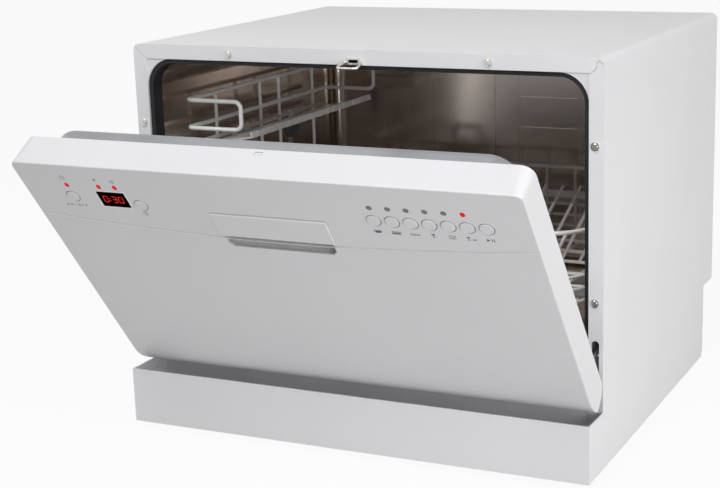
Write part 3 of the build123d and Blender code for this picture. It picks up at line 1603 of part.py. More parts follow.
vent_grille = 2.5
breather_depth = 17.0
with BuildPart() as breather_vent:
    with BuildSketch(side(-tub_half_width)):
        with Locations((vent_y, vent_z)):
            Circle(vent_radius)
    extrude(amount=vent_grille)
    with BuildSketch(side(-tub_half_width - tub_sheet)):
        with Locations((vent_y, vent_z)):
            Circle(vent_neck)
    extrude(amount=tub_sheet)
    with BuildSketch(side(-tub_half_width - tub_sheet)):
        with Locations((vent_y, vent_z)):
            RectangleRounded(60, 60, 8)
    extrude(amount=-breather_depth)
    with BuildSketch(side(-tub_half_width + vent_grille)):
        with Locations((vent_y, vent_z)):
            with GridLocations(5, 1, 5, 1):
                Rectangle(2.2, 20)
    extrude(amount=-1.5, mode=Mode.SUBTRACT)
keep("breather_vent", breather_vent.part)

for name, part in pieces.items():
    export_step(part, f"parts/{name}.step")
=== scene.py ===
import json
import math

import bmesh
import bpy
from bpy.props import FloatProperty, FloatVectorProperty, PointerProperty
from mathutils import Matrix, Vector


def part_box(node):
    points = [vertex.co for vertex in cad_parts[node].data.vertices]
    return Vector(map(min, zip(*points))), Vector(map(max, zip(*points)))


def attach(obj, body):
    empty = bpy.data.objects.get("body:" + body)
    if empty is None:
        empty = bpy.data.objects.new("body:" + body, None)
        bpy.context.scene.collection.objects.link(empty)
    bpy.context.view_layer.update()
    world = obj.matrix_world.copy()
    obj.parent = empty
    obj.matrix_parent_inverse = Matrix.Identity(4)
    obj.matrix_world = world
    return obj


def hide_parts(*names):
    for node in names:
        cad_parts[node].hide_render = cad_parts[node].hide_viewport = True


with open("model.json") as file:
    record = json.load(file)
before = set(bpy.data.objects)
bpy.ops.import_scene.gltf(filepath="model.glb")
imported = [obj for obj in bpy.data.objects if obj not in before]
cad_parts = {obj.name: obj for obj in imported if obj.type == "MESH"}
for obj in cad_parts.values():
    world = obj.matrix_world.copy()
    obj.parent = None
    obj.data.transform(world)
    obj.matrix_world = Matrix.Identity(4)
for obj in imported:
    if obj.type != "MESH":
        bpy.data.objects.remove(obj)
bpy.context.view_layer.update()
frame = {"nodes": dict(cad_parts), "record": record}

bl_info = {
    "name": "Countertop dishwasher looks",
    "version": (1, 0, 0),
    "blender": (4, 5, 0),
    "location": "3D View > Sidebar > Dishwasher",
    "description": "Finishes and fine pieces for a countertop dishwasher",
    "category": "Object",
}

MM = 0.001

# The machine's own planes, read from the frame
FLANGE_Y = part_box("outer_cabinet")[0][1]
CABINET_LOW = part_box("outer_cabinet")[0][2]
JOINTS = {joint["name"]: joint for joint in frame["record"]["behaviour"]["joints"]}
HINGE = Vector(JOINTS["door_hinge"]["pos_m"])
DOOR_TILT = math.radians(-JOINTS["door_hinge"]["range_deg"][0])
DOOR_UP = Vector((0, -math.sin(DOOR_TILT), math.cos(DOOR_TILT)))
DOOR_OUT = Vector((0, -math.cos(DOOR_TILT), -math.sin(DOOR_TILT)))
HINGE_BEHIND_FACE = 13 * MM
HINGE_ABOVE_LIP = 29 * MM
DOOR_ORIGIN = HINGE + DOOR_OUT * HINGE_BEHIND_FACE - DOOR_UP * HINGE_ABOVE_LIP


def srgb(code):
    """A written colour such as "c8c8ca" as linear red, green and blue."""
    parts = [int(code[i : i + 2], 16) / 255 for i in (0, 2, 4)]
    return [c / 12.92 if c <= 0.04045 else ((c + 0.055) / 1.055) ** 2.4 for c in parts]


# ---------------------------------------------------------------- sizes and colours a user may change
class DishwasherSizes(bpy.types.PropertyGroup):
    """Wire gauges and small edge sizes."""

    fine_wire: FloatProperty(
        name="Fine wire radius", description="Radius of the rack's fine wires", default=1.9 * MM,
        unit="LENGTH",
    )
    print_lift: FloatProperty(
        name="Print thickness", description="How far a printed mark stands on the door", default=0.06 * MM,
        unit="LENGTH",
    )
    soft_edge: FloatProperty(
        name="Edge softness", description="Rounding of the handle flap's edges", default=0.5 * MM,
        unit="LENGTH",
    )


class DishwasherColours(bpy.types.PropertyGroup):
    """Base colours of the finishes."""

    enamel: FloatVectorProperty(
        name="Enamel", description="White paint of the cabinet, door and plinth", subtype="COLOR",
        default=srgb("ecebed"),
    )
    moulding: FloatVectorProperty(
        name="White moulding", description="White moulded parts", subtype="COLOR",
        default=srgb("e6e7ea"),
    )
    steel: FloatVectorProperty(
        name="Tub steel", description="Stainless sheet of the tub", subtype="COLOR",
        default=srgb("cfc3ba"),
    )
    nylon: FloatVectorProperty(
        name="Rack coating", description="Nylon coating of the rack's wires", subtype="COLOR",
        default=srgb("f3f3f1"),
    )
    rubber: FloatVectorProperty(
        name="Seal rubber", description="Door seal", subtype="COLOR",
        default=srgb("1b1b1d"),
    )
    grey: FloatVectorProperty(
        name="Grey moulding", description="Dispenser, rollers and spray arm", subtype="COLOR",
        default=srgb("a3a5aa"),
    )
    # Also the colour of the painted shadow on each button's lower right
    print_and_painted_shadow_ink: FloatVectorProperty(
        name="Print", description="Printed marks on the door", subtype="COLOR",
        default=srgb("50565d"),
    )
    lit_red: FloatVectorProperty(
        name="Lit red", description="Lit lamps", subtype="COLOR",
        default=srgb("cf0a12"),
    )


def sizes():
    """The sizes a user may change."""
    return bpy.context.scene.dishwasher_sizes


def colours():
    """The colours a user may change."""
    return bpy.context.scene.dishwasher_colours


# ---------------------------------------------------------------- finishes
def new_finish(name, rough, metal=0.0, **sockets):
    """A node material with its shader's plain values set on the shader itself."""
    finish = bpy.data.materials.new(name)
    finish.use_nodes = True
    shader = finish.node_tree.nodes["Principled BSDF"]
    shader.inputs["Roughness"].default_value = rough
    shader.inputs["Metallic"].default_value = metal
    for socket, value in sockets.items():
        shader.inputs[socket.replace("_", " ")].default_value = value
    return finish, finish.node_tree, shader


def object_position(tree, stretch=(1, 1, 1)):
    """Place on the object in metres, scaled along each axis."""
    place = tree.nodes.new("ShaderNodeTexCoord")
    scale = tree.nodes.new("ShaderNodeMapping")
    scale.inputs["Scale"].default_value = stretch
    tree.links.new(place.outputs["Object"], scale.inputs["Vector"])
    return scale.outputs["Vector"]


def noise(tree, position, scale, detail, rough=0.55):
    """A cloudy grey value; the larger the scale, the finer its grain."""
    grain = tree.nodes.new("ShaderNodeTexNoise")
    grain.inputs["Scale"].default_value = scale
    grain.inputs["Detail"].default_value = detail
    grain.inputs["Roughness"].default_value = rough
    tree.links.new(position, grain.inputs["Vector"])
    return grain.outputs["Fac"]


def ramp(tree, value, stops):
    """Maps a grey value to colours at the given stops."""
    chart = tree.nodes.new("ShaderNodeValToRGB")
    chart.color_ramp.elements[0].position = stops[0][0]
    chart.color_ramp.elements[0].color = (*stops[0][1], 1)
    chart.color_ramp.elements[1].position = stops[-1][0]
    chart.color_ramp.elements[1].color = (*stops[-1][1], 1)
    for at, colour in stops[1:-1]:
        chart.color_ramp.elements.new(at).color = (*colour, 1)
    tree.links.new(value, chart.inputs["Fac"])
    return chart.outputs["Color"]


def span(tree, value, low, high):
    """Spreads a 0 to 1 value between two numbers."""
    spread = tree.nodes.new("ShaderNodeMapRange")
    spread.inputs["To Min"].default_value = low
    spread.inputs["To Max"].default_value = high
    tree.links.new(value, spread.inputs["Value"])
    return spread.outputs["Result"]


def tint(tree, shader, value, stops):
    """Lets a grey value choose the base colour."""
    tree.links.new(ramp(tree, value, stops), shader.inputs["Base Color"])


def gloss(tree, shader, value, low, high):
    """Lets a grey value choose the roughness."""
    tree.links.new(span(tree, value, low, high), shader.inputs["Roughness"])


def bump(tree, shader, height, strength, distance):
    """Lets a grey value stand for height, in metres."""
    relief = tree.nodes.new("ShaderNodeBump")
    relief.inputs["Strength"].default_value = strength
    relief.inputs["Distance"].default_value = distance
    tree.links.new(height, relief.inputs["Height"])
    tree.links.new(relief.outputs["Normal"], shader.inputs["Normal"])


def shade(colour, factor):
    """The colour made darker or lighter, kept between 0 and 1."""
    return [max(0.0, min(1.0, c * factor)) for c in colour]


def enamel_finish(name, colour):
    """Sprayed and baked paint: a faint orange peel, and cloudy changes in tone and gloss."""
    finish, tree, shader = new_finish(name, 0.36, Specular_IOR_Level=0.42)
    place = object_position(tree)
    cloud = noise(tree, place, scale=7, detail=4)
    tint(tree, shader, cloud, [(0.25, shade(colour, 0.975)), (0.75, shade(colour, 1.012))])
    gloss(tree, shader, noise(tree, place, scale=38, detail=5), low=0.31, high=0.42)
    bump(tree, shader, noise(tree, place, scale=520, detail=2), strength=0.10, distance=0.12 * MM)
    return finish


def moulding_finish(name, colour, rough=0.42, grain=0.16):
    """Moulded plastic with a fine even grain and slightly uneven gloss."""
    finish, tree, shader = new_finish(name, rough, Specular_IOR_Level=0.45)
    place = object_position(tree)
    cloud = noise(tree, place, scale=16, detail=4)
    tint(tree, shader, cloud, [(0.3, shade(colour, 0.95)), (0.7, shade(colour, 1.03))])
    gloss(tree, shader, noise(tree, place, scale=60, detail=4), low=rough - 0.06, high=rough + 0.06)
    bump(tree, shader, noise(tree, place, scale=1500, detail=2), strength=grain, distance=0.12 * MM)
    return finish


def drawn_steel_finish(name, colour, rough, stretch=(1, 1, 14), dull=None):
    """Stainless sheet: long rolling lines, cloudy tint and small changes in polish."""
    finish, tree, shader = new_finish(name, rough, metal=1.0)
    place = object_position(tree)
    lines = noise(tree, object_position(tree, stretch), scale=90, detail=5, rough=0.7)
    cloud = noise(tree, place, scale=5, detail=5)
    stops = [(0.3, dull or shade(colour, 0.78)), (0.52, colour), (0.78, shade(colour, 1.1))]
    tint(tree, shader, cloud, stops)
    gloss(tree, shader, lines, low=rough - 0.07, high=rough + 0.09)
    bump(tree, shader, lines, strength=0.08, distance=0.08 * MM)
    return finish


def plated_finish(name, colour):
    """Bright plating with faint handling marks."""
    finish, tree, shader = new_finish(name, 0.14, metal=1.0)
    marks = noise(tree, object_position(tree), scale=240, detail=6, rough=0.7)
    tint(tree, shader, marks, [(0.3, shade(colour, 0.82)), (0.7, colour)])
    gloss(tree, shader, marks, low=0.09, high=0.26)
    bump(tree, shader, marks, strength=0.06, distance=0.06 * MM)
    return finish


def nylon_finish(name, colour):
    """Dipped nylon over wire: thick, softly shining, slightly lumpy."""
    finish, tree, shader = new_finish(
        name, 0.34, Specular_IOR_Level=0.5, Coat_Weight=0.15, Coat_Roughness=0.25
    )
    place = object_position(tree)
    cloud = noise(tree, place, scale=30, detail=4)
    tint(tree, shader, cloud, [(0.3, shade(colour, 0.93)), (0.7, shade(colour, 1.02))])
    gloss(tree, shader, noise(tree, place, scale=120, detail=3), low=0.28, high=0.42)
    bump(tree, shader, noise(tree, place, scale=160, detail=2), strength=0.22, distance=0.2 * MM)
    return finish


def rubber_finish(name, colour):
    """Soft extrusion: matt, with fine drag lines and a dusty bloom."""
    finish, tree, shader = new_finish(name, 0.62, Specular_IOR_Level=0.35)
    dust = noise(tree, object_position(tree), scale=45, detail=6, rough=0.7)
    tint(tree, shader, dust, [(0.4, colour), (0.85, shade(colour, 2.2))])
    gloss(tree, shader, dust, low=0.52, high=0.74)
    drag = noise(tree, object_position(tree, (1, 40, 1)), scale=60, detail=3)
    bump(tree, shader, drag, strength=0.2, distance=0.2 * MM)
    return finish


def laminate_finish(name, colour):
    """Circuit board: green varnish with fine tracks."""
    finish, tree, shader = new_finish(name, 0.4)
    tracks = tree.nodes.new("ShaderNodeTexBrick")
    tracks.inputs["Scale"].default_value = 60
    tracks.inputs["Color1"].default_value = (*colour, 1)
    tracks.inputs["Color2"].default_value = (*shade(colour, 1.25), 1)
    tracks.inputs["Mortar"].default_value = (*shade(colour, 0.6), 1)
    tracks.inputs["Mortar Size"].default_value = 0.012
    tree.links.new(object_position(tree), tracks.inputs["Vector"])
    tree.links.new(tracks.outputs["Color"], shader.inputs["Base Color"])
    bump(tree, shader, tracks.outputs["Fac"], strength=0.15, distance=0.05 * MM)
    return finish


def lit_finish(name, colour, glow):
    """A lit lens or figure: saturated colour, slightly grainy, with its own steady light."""
    finish, tree, shader = new_finish(name, 0.4, Emission_Strength=glow, Specular_IOR_Level=0.15)
    grain = noise(tree, object_position(tree), scale=900, detail=2)
    tone = ramp(tree, grain, [(0.2, shade(colour, 0.85)), (0.8, colour)])
    tree.links.new(tone, shader.inputs["Base Color"])
    tree.links.new(tone, shader.inputs["Emission Color"])
    return finish


def smoked_window_finish(name):
    """The display's dark window: near black, half matt, with a breath of red in it."""
    finish, tree, shader = new_finish(name, 0.5, Specular_IOR_Level=0.0)
    cloud = noise(tree, object_position(tree), scale=120, detail=3)
    tint(tree, shader, cloud, [(0.3, srgb("040202")), (0.8, srgb("0c0405"))])
    gloss(tree, shader, cloud, low=0.42, high=0.55)
    bump(tree, shader, cloud, strength=0.03, distance=0.05 * MM)
    return finish


FINISHES = {}


def finish_makers():
    """How each finish is made, by the short name that the pieces ask for."""
    tone = colours()

    def moulding(name, code, **rest):
        return lambda: moulding_finish(name, srgb(code), **rest)

    def steel(name, code, rough, stretch, dull=None):
        return lambda: drawn_steel_finish(name, srgb(code), rough, stretch, dull and srgb(dull))

    return {
        "enamel": lambda: enamel_finish("white_enamel", list(tone.enamel)),
        # Painted shade: the door's paint is the cabinet's enamel made 3 % darker, for the shade on the
        # door's front
        "shaded_door_enamel": lambda: enamel_finish("shaded_door_enamel", shade(list(tone.enamel), 0.97)),
        "moulding": lambda: moulding_finish("white_moulding", list(tone.moulding)),
        "tub_steel": lambda: drawn_steel_finish("tub_steel", list(tone.steel), 0.15, dull=srgb("b1a399")),
        "liner_steel": steel("liner_steel", "9d9ea1", rough=0.3, stretch=(14, 1, 1), dull="88898d"),
        "zinc": steel("zinc_plate", "b4b6b8", rough=0.36, stretch=(1, 1, 3), dull="9fa3a6"),
        "heater": steel("heater_tube", "8d8a88", rough=0.3, stretch=(8, 1, 1)),
        "chrome": lambda: plated_finish("bright_plating", srgb("d5d3cf")),
        "nylon": lambda: nylon_finish("rack_nylon", list(tone.nylon)),
        "rubber": lambda: rubber_finish("seal_rubber", list(tone.rubber)),
        "grey": lambda: moulding_finish("grey_moulding", list(tone.grey), rough=0.46),
        # Painted light: a near white, lighter than the other white mouldings, to offset the shade in the
        # handle's recess
        "pale_grey": moulding("handle_cup_painted_light", "f4f4f5", rough=0.46),
        "dark_grey": moulding("dark_grey_moulding", "5a5b5f", rough=0.46),
        "black": moulding("black_moulding", "26272a", rough=0.5, grain=0.3),
        "ivory": moulding("ivory_moulding", "d9dad3", rough=0.45),
        "laminate": lambda: laminate_finish("board_laminate", srgb("1d6a3c")),
        "window": lambda: smoked_window_finish("smoked_window"),
        # The print colour, also used for the painted shadow on the buttons' lower right
        "ink": lambda: moulding_finish("printed_ink_and_painted_shadow", list(tone.print_and_painted_shadow_ink), rough=0.5, grain=0.05),
        "white_ink": moulding("white_ink", "ffffff", rough=0.5, grain=0.05),
        # Painted shade: the grey of the ring drawn round each button's gap
        "outline": moulding("button_gap_painted_shade", "8b8d91", rough=0.5, grain=0.05),
        "dark_lens": moulding("dark_lens", "7d7d82", rough=0.3, grain=0.05),
        "lens_rim": moulding("lens_rim", "45474b", rough=0.35, grain=0.05),
        "lit_lens": lambda: lit_finish("lit_lens", list(tone.lit_red), glow=0.5),
        "lit_figure": lambda: lit_finish("lit_figure", srgb("cc1712"), glow=0.6),
    }


def finish_for(name):
    """Each finish is made once, when a piece first asks for it."""
    if name not in FINISHES:
        FINISHES[name] = finish_makers()[name]()
    return FINISHES[name]


def dress(finish, *nodes):
    """Gives CAD nodes a finish."""
    for node in nodes:
        for slot in frame["nodes"][node].material_slots:
            slot.material = finish_for(finish)


SOFTENED_ANGLE = math.radians(40)


def soften(node, width):
    """Rounds a CAD node's sharp edges in the render."""
    rounding = frame["nodes"][node].modifiers.new("soft_edge", "BEVEL")
    rounding.width = width
    rounding.segments = 2
    rounding.limit_method = "ANGLE"
    rounding.angle_limit = SOFTENED_ANGLE


# ---------------------------------------------------------------- shapes
def place(mesh_object, finish, body, slot_name):
    """Puts a finished piece into the scene on its body."""
    mesh_object.data.materials.append(finish_for(finish))
    bpy.context.scene.collection.objects.link(mesh_object)
    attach(mesh_object, body)
    return mesh_object


SHARP_ANGLE = math.radians(38)
BEND_SHARE = 0.49  # the most of a straight run that a bend may take
WIRE_TIP = 0.45  # how far a wire's end stands out, as a share of its radius


def from_bmesh(name, mesh_data, smooth=True):
    """A mesh object; its faces shade smoothly except over sharp edges."""
    mesh = bpy.data.meshes.new(name)
    mesh_data.normal_update()
    mesh_data.to_mesh(mesh)
    mesh_data.free()
    if smooth:
        mesh.shade_smooth()
        mesh.set_sharp_from_angle(angle=SHARP_ANGLE)
    return bpy.data.objects.new(name, mesh)


def cabinet_point(x, depth, z):
    """A point in millimetres: right, behind the flange, above the cabinet's lower edge."""
    return Vector((x * MM, FLANGE_Y + depth * MM, CABINET_LOW + z * MM))


def door_point(x, up, out=0.0):
    """A point in millimetres on the door: right, up the door, and out from its face."""
    return DOOR_ORIGIN + Vector((x * MM, 0, 0)) + DOOR_UP * (up * MM) + DOOR_OUT * (out * MM)


def bent_run(points, radius, steps=5, closed=False):
    """The line of a bent wire: straight runs joined by arcs of the radius, in metres."""
    line = []
    count = len(points)
    for i, corner in enumerate(points):
        if not closed and i in (0, count - 1):
            line.append(corner)
            continue
        before, after = points[i - 1], points[(i + 1) % count]
        back, on = (before - corner), (after - corner)
        turn = back.angle(on)
        reach = min(radius / math.tan(turn / 2), back.length * BEND_SHARE, on.length * BEND_SHARE)
        back.normalize()
        on.normalize()
        start, end = corner + back * reach, corner + on * reach
        for step in range(steps + 1):
            t = step / steps
            line.append(start * (1 - t) ** 2 + corner * (2 * t * (1 - t)) + end * t**2)
    return line


def turns(sides):
    """Equal angles round a circle."""
    return [2 * math.pi * k / sides for k in range(sides)]


def circle_at(solid, centre, across, other, radius, sides):
    """A ring of corners round a centre, in the plane of two directions."""
    return [
        solid.verts.new(centre + (across * math.cos(t) + other * math.sin(t)) * radius)
        for t in turns(sides)
    ]


def join_rings(solid, before, after):
    """The band of faces between two rings of the same count."""
    count = len(before)
    for k in range(count):
        solid.faces.new((before[k], before[(k + 1) % count], after[(k + 1) % count], after[k]))


def wire_way(behind, at, ahead):
    """The direction of a wire at a point, between its neighbours."""
    way = Vector()
    if ahead:
        way += (ahead - at).normalized()
    if behind:
        way += (at - behind).normalized()
    return way.normalized()


def wires(name, runs, radius, finish, body, slot_name, sides=10):
    """Several round wires as one piece. A run is (points, closed)."""
    solid = bmesh.new()
    for points, closed in runs:
        last = len(points) - 1
        rings = []
        normal = None
        for i, at in enumerate(points):
            ahead = points[(i + 1) % len(points)] if closed or i < last else None
            behind = points[i - 1] if closed or i > 0 else None
            way = wire_way(behind, at, ahead)
            if normal is None:
                normal = way.orthogonal().normalized()
            normal = (normal - way * normal.dot(way)).normalized()
            rings.append(circle_at(solid, at, normal, way.cross(normal), radius, sides))
        for before, after in zip(rings, rings[1:]):
            join_rings(solid, before, after)
        first, end = rings[0], rings[-1]
        if closed:
            twist = min(range(sides), key=lambda k: (end[0].co - first[k].co).length)
            join_rings(solid, end, first[twist:] + first[:twist])
            continue
        tips = ((first, points[0], points[1], True), (end, points[-1], points[-2], False))
        for ring, at, other, starts in tips:
            tip = solid.verts.new(at + (at - other).normalized() * radius * WIRE_TIP)
            for k in range(sides):
                a, b = ring[k], ring[(k + 1) % sides]
                solid.faces.new((b, a, tip) if starts else (a, b, tip))
    bmesh.ops.recalc_face_normals(solid, faces=solid.faces)
    return place(from_bmesh(name, solid), finish, body, slot_name)


def prints(name, shapes, finish, slot_name, lift=None):
    """Thin marks on the door's face: print, and the painted shade round the buttons. A shape is a closed
    outline of (x, up) in millimetres.
    """
    lift = sizes().print_lift / MM if lift is None else lift
    solid = bmesh.new()
    for outline in shapes:
        front = [solid.verts.new(door_point(x, up, lift)) for x, up in outline]
        rear = [solid.verts.new(door_point(x, up, 0.0)) for x, up in outline]
        solid.faces.new(front)
        solid.faces.new(list(reversed(rear)))
        count = len(outline)
        for i in range(count):
            j = (i + 1) % count
            solid.faces.new((front[i], rear[i], rear[j], front[j]))
    bmesh.ops.recalc_face_normals(solid, faces=solid.faces)
    return place(from_bmesh(name, solid, smooth=False), finish, "door", slot_name)


def bar(x0, up0, x1, up1, width):
    """A straight stroke as an outline."""
    run = Vector((x1 - x0, up1 - up0))
    side = Vector((-run.y, run.x)).normalized() * (width / 2)
    return [
        (x0 + side.x, up0 + side.y), (x1 + side.x, up1 + side.y),
        (x1 - side.x, up1 - side.y), (x0 - side.x, up0 - side.y),
    ]


def arc_strokes(x, up, radius, start, end, width, steps=14):
    """An arc as short strokes, angles in degrees."""
    strokes = []
    for i in range(steps):
        a, b = (math.radians(start + (end - start) * (i + t) / steps) for t in (0, 1))
        outer, inner = radius + width / 2, radius - width / 2
        strokes.append([
            (x + reach * math.cos(angle), up + reach * math.sin(angle))
            for reach, angle in ((outer, a), (outer, b), (inner, b), (inner, a))
        ])
    return strokes


# ---------------------------------------------------------------- operators
class PieceOperator:
    """What every piece's operator shares."""

    bl_options = {"REGISTER", "UNDO"}


class DISHWASHER_OT_cabinet(PieceOperator, bpy.types.Operator):
    """Finish the outer cabinet, its plinth, rear cover, base and feet"""

    bl_idname = "dishwasher.cabinet"
    bl_label = "Cabinet and plinth"

    def execute(self, context):
        dress("enamel", "outer_cabinet", "plinth")
        dress("moulding", "tub_front_frame")
        dress("zinc", "rear_cover")
        dress("black", "base_tray", "front_left_foot", "front_right_foot", "rear_feet")
        dress("black", "cord_gland", "drain_spigot", "sump", "circulation_pump", "drain_pump")
        dress("ivory", "inlet_valve", "water_softener")
        dress("heater", "heater")
        return {"FINISHED"}


class DISHWASHER_OT_tub(PieceOperator, bpy.types.Operator):
    """Finish the steel tub, its runners, seal and wash fittings"""

    bl_idname = "dishwasher.tub"
    bl_label = "Tub and fittings"

    def execute(self, context):
        dress("tub_steel", "tub", "rack_runners", "filter_plate")
        dress("rubber", "tub_gasket")
        dress("grey", "spray_arm", "filter_cylinder")
        dress("moulding", "spray_hub", "salt_cap")
        dress("dark_grey", "breather_vent")
        return {"FINISHED"}


# The door's crease, in millimetres: x to the right and height up the door
CREASE_HALF = 274.5
CREASE_LOW, CREASE_HIGH = 250.0, 268.0
CREASE_INSET = 2.0
CREASE_STEPS = 60
CREASE_LIP = ((-0.1, -0.05), (-0.3, 0.8), (-2.2, -0.05))  # (up from the crease, out from the face)


def crease_height(x):
    """How far up the door its shallow crease runs, on the arc through its ends and its middle."""
    rise = CREASE_HIGH - CREASE_LOW
    radius = (CREASE_HALF**2 + rise**2) / (2 * rise)
    return CREASE_LOW + radius - math.sqrt(radius**2 - x**2)


class DISHWASHER_OT_door(PieceOperator, bpy.types.Operator):
    """Finish the door's skin, liner, handle and dispenser"""

    bl_idname = "dishwasher.door"
    bl_label = "Door"

    def crease(self):
        """The crease's lower lip: its upper side catches the light."""
        solid = bmesh.new()
        loops = []
        for i in range(CREASE_STEPS + 1):
            x = (2 * i / CREASE_STEPS - 1) * (CREASE_HALF - CREASE_INSET)
            up = crease_height(x)
            loops.append([solid.verts.new(door_point(x, up + rise, out)) for rise, out in CREASE_LIP])
        solid.faces.new(loops[0])
        for before, after in zip(loops, loops[1:]):
            join_rings(solid, before, after)
        solid.faces.new(list(reversed(loops[-1])))
        bmesh.ops.recalc_face_normals(solid, faces=solid.faces)
        place(from_bmesh("door_crease_lip", solid, smooth=False), "shaded_door_enamel", "door", "white_enamel")

    def execute(self, context):
        dress("shaded_door_enamel", "door_outer_panel")
        dress("liner_steel", "door_liner")
        dress("shaded_door_enamel", "handle_flap")
        soften("handle_flap", sizes().soft_edge)
        # The handle cup is lightened to offset the shade in its recess: painted light
        dress("pale_grey", "handle_cup")
        dress("grey", "dispenser_body", "dispenser_lid", "rinse_aid_cap")
        dress("black", "latch_housing")
        dress("shaded_door_enamel", "latch_hook")
        dress("laminate", "control_board")
        self.crease()
        return {"FINISHED"}


class DISHWASHER_OT_fixings(PieceOperator, bpy.types.Operator):
    """Finish the screws, the latch striker, the hinges and their springs"""

    bl_idname = "dishwasher.fixings"
    bl_label = "Hinges, latch and screws"

    def execute(self, context):
        dress("chrome", "flange_screws", "latch_striker")
        dress("zinc", "hinge_brackets", "hinge_arms", "hinge_springs")
        return {"FINISHED"}


# The control panel, in millimetres: x to the right and height up the door
BUTTONS = ["power_button", "delay_button"] + [f"programme_button_{i}" for i in range(1, 8)]
BUTTONS_AT = [(-220.0, 297.0), (-141.5, 290.5)] + [(116.5 + 18.8 * i, 295.0) for i in range(7)]
# Painted shade: a grey ring round each button stands for the shade in the gap round its cap
GAP_SHADE_RADIUS, GAP_SHADE_WIDTH = 7.6, 0.55
# Painted shadow: darker arcs on each button's lower right, between these angles
SHADOW_RADIUS, SHADOW_WIDTH = 7.65, 0.7
SHADOW_FROM, SHADOW_TO = -110, 15  # degrees: the lower right of each button
LIT_LAMPS = [(-219.0, 314.0), (-180.5, 314.5), (-161.5, 314.5), (210.4, 313.0)]
DARK_LAMPS = [(117.4 + 18.6 * i, 313.0) for i in range(5)]
LIT_LENS = (2.6, 3.3)  # half width and half height
DARK_LENS = (2.0, 2.2)
LENS_RINGS, LENS_SIDES = 4, 20
LENS_DOME, LENS_FOOT = 0.45, 0.05
STEM_RADIUS, STEM_DEPTH = 1.7, 6.0
RIM_RADIUS, RIM_WIDTH, RIM_LIFT = 2.5, 0.8, 0.12
DISPLAY = (-171.5, 296.0)
DISPLAY_HALF = (16.5, 11.0)
DISPLAY_EDGE, DISPLAY_GAP = 1.2, 0.3
FIGURES_AT = ((-11.3, "0"), (-0.8, "3"), (6.6, "0"))
FIGURE_FOOT = 4.3
FIGURE_TALL = 8.6
FIGURE_WIDE = 4.6
FIGURE_STROKE = 0.85
FIGURE_GAP = 0.45  # of a stroke's width
FIGURE_SUNK = 0.22
COLON_LEFT, COLON_NEAR, COLON_FAR, COLON_WIDTH = 3.9, 0.9, 2.0, 1.1
SEGMENTS = {
    "0": "abcdef",
    "3": "abgcd",
}
MARKS_AT = [(116.5 + 18.83 * i, 277.2) for i in range(7)]
MARK_SCALE = 1.2
POWER_SIGN_AT, SALT_SIGN_AT = (-219.5, 325.0), (-181.0, 324.0)
RINSE_SIGN_AT, CLOCK_SIGN_AT = (-160.6, 323.6), (-141.2, 278.6)
LETTERING_AT = (-234.0, 282.2)


def placed(spot, strokes, scale=1.0):
    """Outlines drawn about (0, 0), moved to a spot on the door."""
    return [[(spot[0] + x * scale, spot[1] + up * scale) for x, up in stroke] for stroke in strokes]


def rings_round(spots, *arc):
    """The same arc round each spot, as strokes."""
    return [stroke for x, up in spots for stroke in arc_strokes(x, up, *arc)]


def figure(x, up, lit):
    """One seven-bar figure, its lower left corner at (x, up)."""
    w, h, t = FIGURE_WIDE, FIGURE_TALL, FIGURE_STROKE
    half = h / 2
    gap = t * FIGURE_GAP
    ends = {
        "a": (gap, h, w - gap, h),
        "b": (w, h - gap, w, half + gap),
        "c": (w, half - gap, w, gap),
        "d": (gap, 0, w - gap, 0),
        "e": (0, half - gap, 0, gap),
        "f": (0, h - gap, 0, half + gap),
        "g": (gap, half, w - gap, half),
    }
    return placed((x, up), [bar(*ends[s], t) for s in SEGMENTS[lit]])


LETTER_TALL, LETTER_WIDE, LETTER_STEP, LETTER_STROKE = 2.7, 2.2, 4.6, 0.45
LETTERS = {
    "O": ((0, 0, 0, 1), (0, 1, 1, 1), (1, 1, 1, 0), (1, 0, 0, 0)),
    "N": ((0, 0, 0, 1), (0, 1, 1, 0), (1, 0, 1, 1)),
    "F": ((0, 0, 0, 1), (0, 1, 1, 1), (0, 0.5, 0.8, 0.5)),
    "/": ((0.1, 0, 0.9, 1),),
}


def lettering(word, x, up):
    """A word in plain strokes, its lower left corner at (x, up)."""
    strokes = []
    for i, letter in enumerate(word):
        left = x + i * LETTER_STEP
        for x0, y0, x1, y1 in LETTERS[letter]:
            strokes.append(bar(
                left + x0 * LETTER_WIDE, up + y0 * LETTER_TALL,
                left + x1 * LETTER_WIDE, up + y1 * LETTER_TALL, LETTER_STROKE,
            ))
    return strokes


def upper_signs():
    """The signs by the left lamps. A bar is given by its two ends and its width."""
    power = arc_strokes(0, 0, 2.6, 120, 420, 0.5) + [bar(0, 0.4, 0, 3.6, 0.5)]
    salt = [bar(-2.4, 1.6, 2.4, 1.6, 0.5), bar(-1.8, -0.1, 1.8, -0.1, 0.5), bar(0, -1.8, 0, 2.9, 0.5)]
    sun = arc_strokes(0, 0, 1.3, 0, 360, 0.4, 12)
    for a in (math.radians(45 * k) for k in range(8)):
        sun.append(bar(1.9 * math.cos(a), 1.9 * math.sin(a), 3.0 * math.cos(a), 3.0 * math.sin(a), 0.4))
    clock = arc_strokes(0, 0, 2.5, 0, 360, 0.45) + [bar(0, 0, 0, 1.8, 0.45), bar(0, 0, 1.4, 0, 0.45)]
    return (
        placed(POWER_SIGN_AT, power) + placed(SALT_SIGN_AT, salt)
        + placed(RINSE_SIGN_AT, sun) + placed(CLOCK_SIGN_AT, clock)
    )


